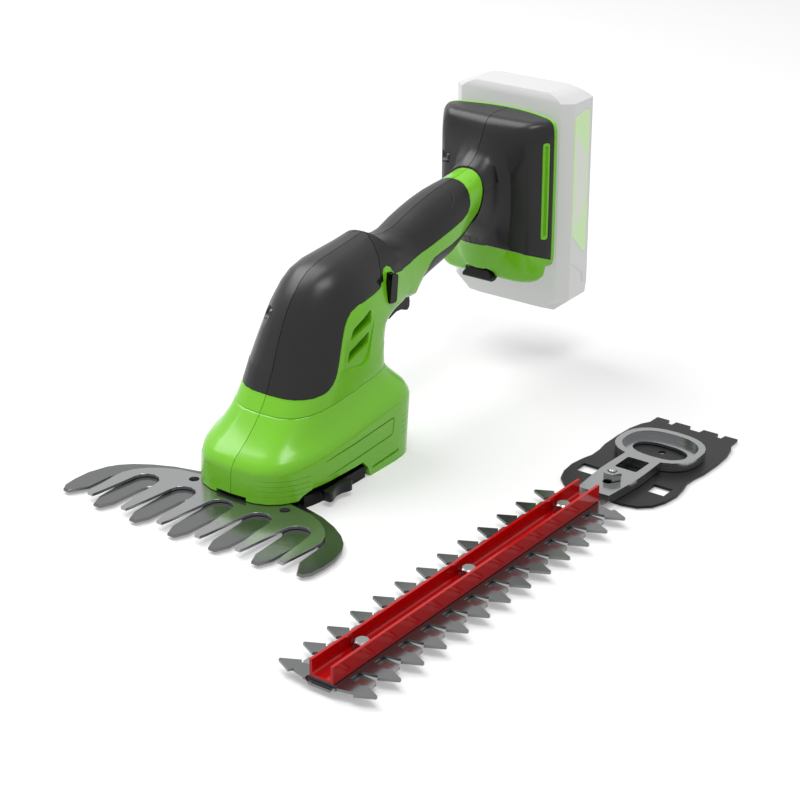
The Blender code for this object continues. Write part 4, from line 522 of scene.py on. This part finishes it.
# The drive inside the head: motor can, gearbox of cast metal with its cover, gear and pinion,
# switch and terminals. They don't show from outside, and each keeps its own plain finish.
can_steel = Finish("can_steel", (0.28, 0.28, 0.29), 0.34, 0.85)
can_steel.wear(0.28, 0.14, 3.0, 3.0, (6.0, 6.0, 0.4))
cast_metal = Finish("cast_metal", (0.26, 0.26, 0.27), 0.55, 0.70)
cast_metal.relief(cast_metal.grain(0.8, 4.0), 0.05)
brass = Finish("brass", (0.50, 0.34, 0.12), 0.32, 0.95)
brass.wear(0.26, 0.14, 1.5, 3.0)
inner_black = Finish("inner_black", KEY_GREY, 0.45)
inner_black.relief(inner_black.grain(0.4), 0.015)
for node, body, finish, slot in (
        ("motor", "tool", can_steel, "motor_can"),
        ("gearbox_housing", "tool", cast_metal, "cast_metal"),
        ("gearbox_cover", "tool", pale_steel, "pale_steel"),
        ("drive_gear", "drive_gear", pale_steel, "blade_steel"),
        ("motor_pinion", "motor_pinion", brass, "brass"),
        ("terminal_block", "tool", brass, "brass"),
        ("switch_body", "tool", inner_black, "soft_black"),
        ("battery_contacts", "battery", inner_black, "soft_black")):
    inner = dress(node, body, finish)


# The studio: a pale floor that keeps the shadows, a white surround, a broad soft lamp from
# the upper left and a weaker one from the right.
FLOOR_SIZE = 9.0
PAPER = (0.62, 0.62, 0.62)
PAPER_GLOW = 0.30
SHADE_LEVEL = 0.55
LAMP_AIM = Vector((0.05, 0.0, 0.05))
CAMERA_PLACE = Vector((0.5693, -0.6973, 0.4340))
CAMERA_AZIMUTH = math.radians(36.23)
CAMERA_ELEVATION = math.radians(23.95)
CAMERA_LENS = 95.2
CAMERA_SENSOR = 36.0
NEAREST, FARTHEST = 0.05, 30.0

work = bmesh.new()
bmesh.ops.create_grid(work, x_segments=1, y_segments=1, size=FLOOR_SIZE / 2)
floor_mesh = bpy.data.meshes.new("studio_floor")
work.to_mesh(floor_mesh)
work.free()
floor = bpy.data.objects.new("studio_floor", floor_mesh)
bpy.context.collection.objects.link(floor)
paper = Finish("studio_paper", PAPER, 0.9, specular_ior_level=0.1)
seen = paper.add("ShaderNodeLightPath", {}, {})
rays = [Value(paper, seen.socket.node.outputs[name])
        for name in ("Is Camera Ray", "Is Glossy Ray", "Is Transmission Ray")]
shown = rays[0].maths("MAXIMUM", rays[1]).maths("MAXIMUM", rays[2])
paper.glow(WHITE)
paper.join(shown * PAPER_GLOW, paper.shader.inputs["Emission Strength"])
floor_mesh.materials.append(paper.material)

world = bpy.data.worlds.new("studio")
world.use_nodes = True
bpy.context.scene.world = world
tree = world.node_tree
surround = tree.nodes["Background"]
surround.inputs["Color"].default_value = (*WHITE, 1.0)
path = tree.nodes.new("ShaderNodeLightPath")
either = tree.nodes.new("ShaderNodeMath")
either.operation = "MAXIMUM"
tree.links.new(path.outputs["Is Camera Ray"], either.inputs[0])
tree.links.new(path.outputs["Is Transmission Ray"], either.inputs[1])
most = tree.nodes.new("ShaderNodeMath")
most.operation = "MAXIMUM"
tree.links.new(either.outputs[0], most.inputs[0])
tree.links.new(path.outputs["Is Glossy Ray"], most.inputs[1])
level = tree.nodes.new("ShaderNodeMapRange")
level.inputs["To Min"].default_value = SHADE_LEVEL
level.inputs["To Max"].default_value = 1.0
tree.links.new(most.outputs[0], level.inputs["Value"])
tree.links.new(level.outputs[0], surround.inputs["Strength"])


def soft_lamp(name, place, size, power):
    """A rectangular lamp in metres and watts, aimed at the tool."""
    lamp = bpy.data.lights.new(name, "AREA")
    lamp.shape = "RECTANGLE"
    lamp.size, lamp.size_y = size
    lamp.energy = power
    holder = bpy.data.objects.new(name, lamp)
    holder.location = place
    holder.rotation_mode = "QUATERNION"
    holder.rotation_quaternion = (LAMP_AIM - Vector(place)).to_track_quat("-Z", "Y")
    bpy.context.collection.objects.link(holder)


soft_lamp("key_lamp", place=(-0.80, 0.05, 1.15), size=(1.0, 1.0), power=15.0)
soft_lamp("top_lamp", place=(0.30, -0.15, 1.25), size=(0.55, 0.45), power=5.5)

camera_data = bpy.data.cameras.new("photo_camera")
camera_data.sensor_width = CAMERA_SENSOR
camera_data.lens = CAMERA_LENS
camera_data.clip_start = NEAREST
camera_data.clip_end = FARTHEST
camera = bpy.data.objects.new("photo_camera", camera_data)
bpy.context.collection.objects.link(camera)
back = Vector((math.sin(CAMERA_AZIMUTH) * math.cos(CAMERA_ELEVATION),
               -math.cos(CAMERA_AZIMUTH) * math.cos(CAMERA_ELEVATION),
               math.sin(CAMERA_ELEVATION)))
camera.location = CAMERA_PLACE
camera.rotation_mode = "QUATERNION"
camera.rotation_quaternion = (-back).to_track_quat("-Z", "Y")
bpy.context.scene.camera = camera
bpy.context.scene.view_settings.view_transform = "Standard"
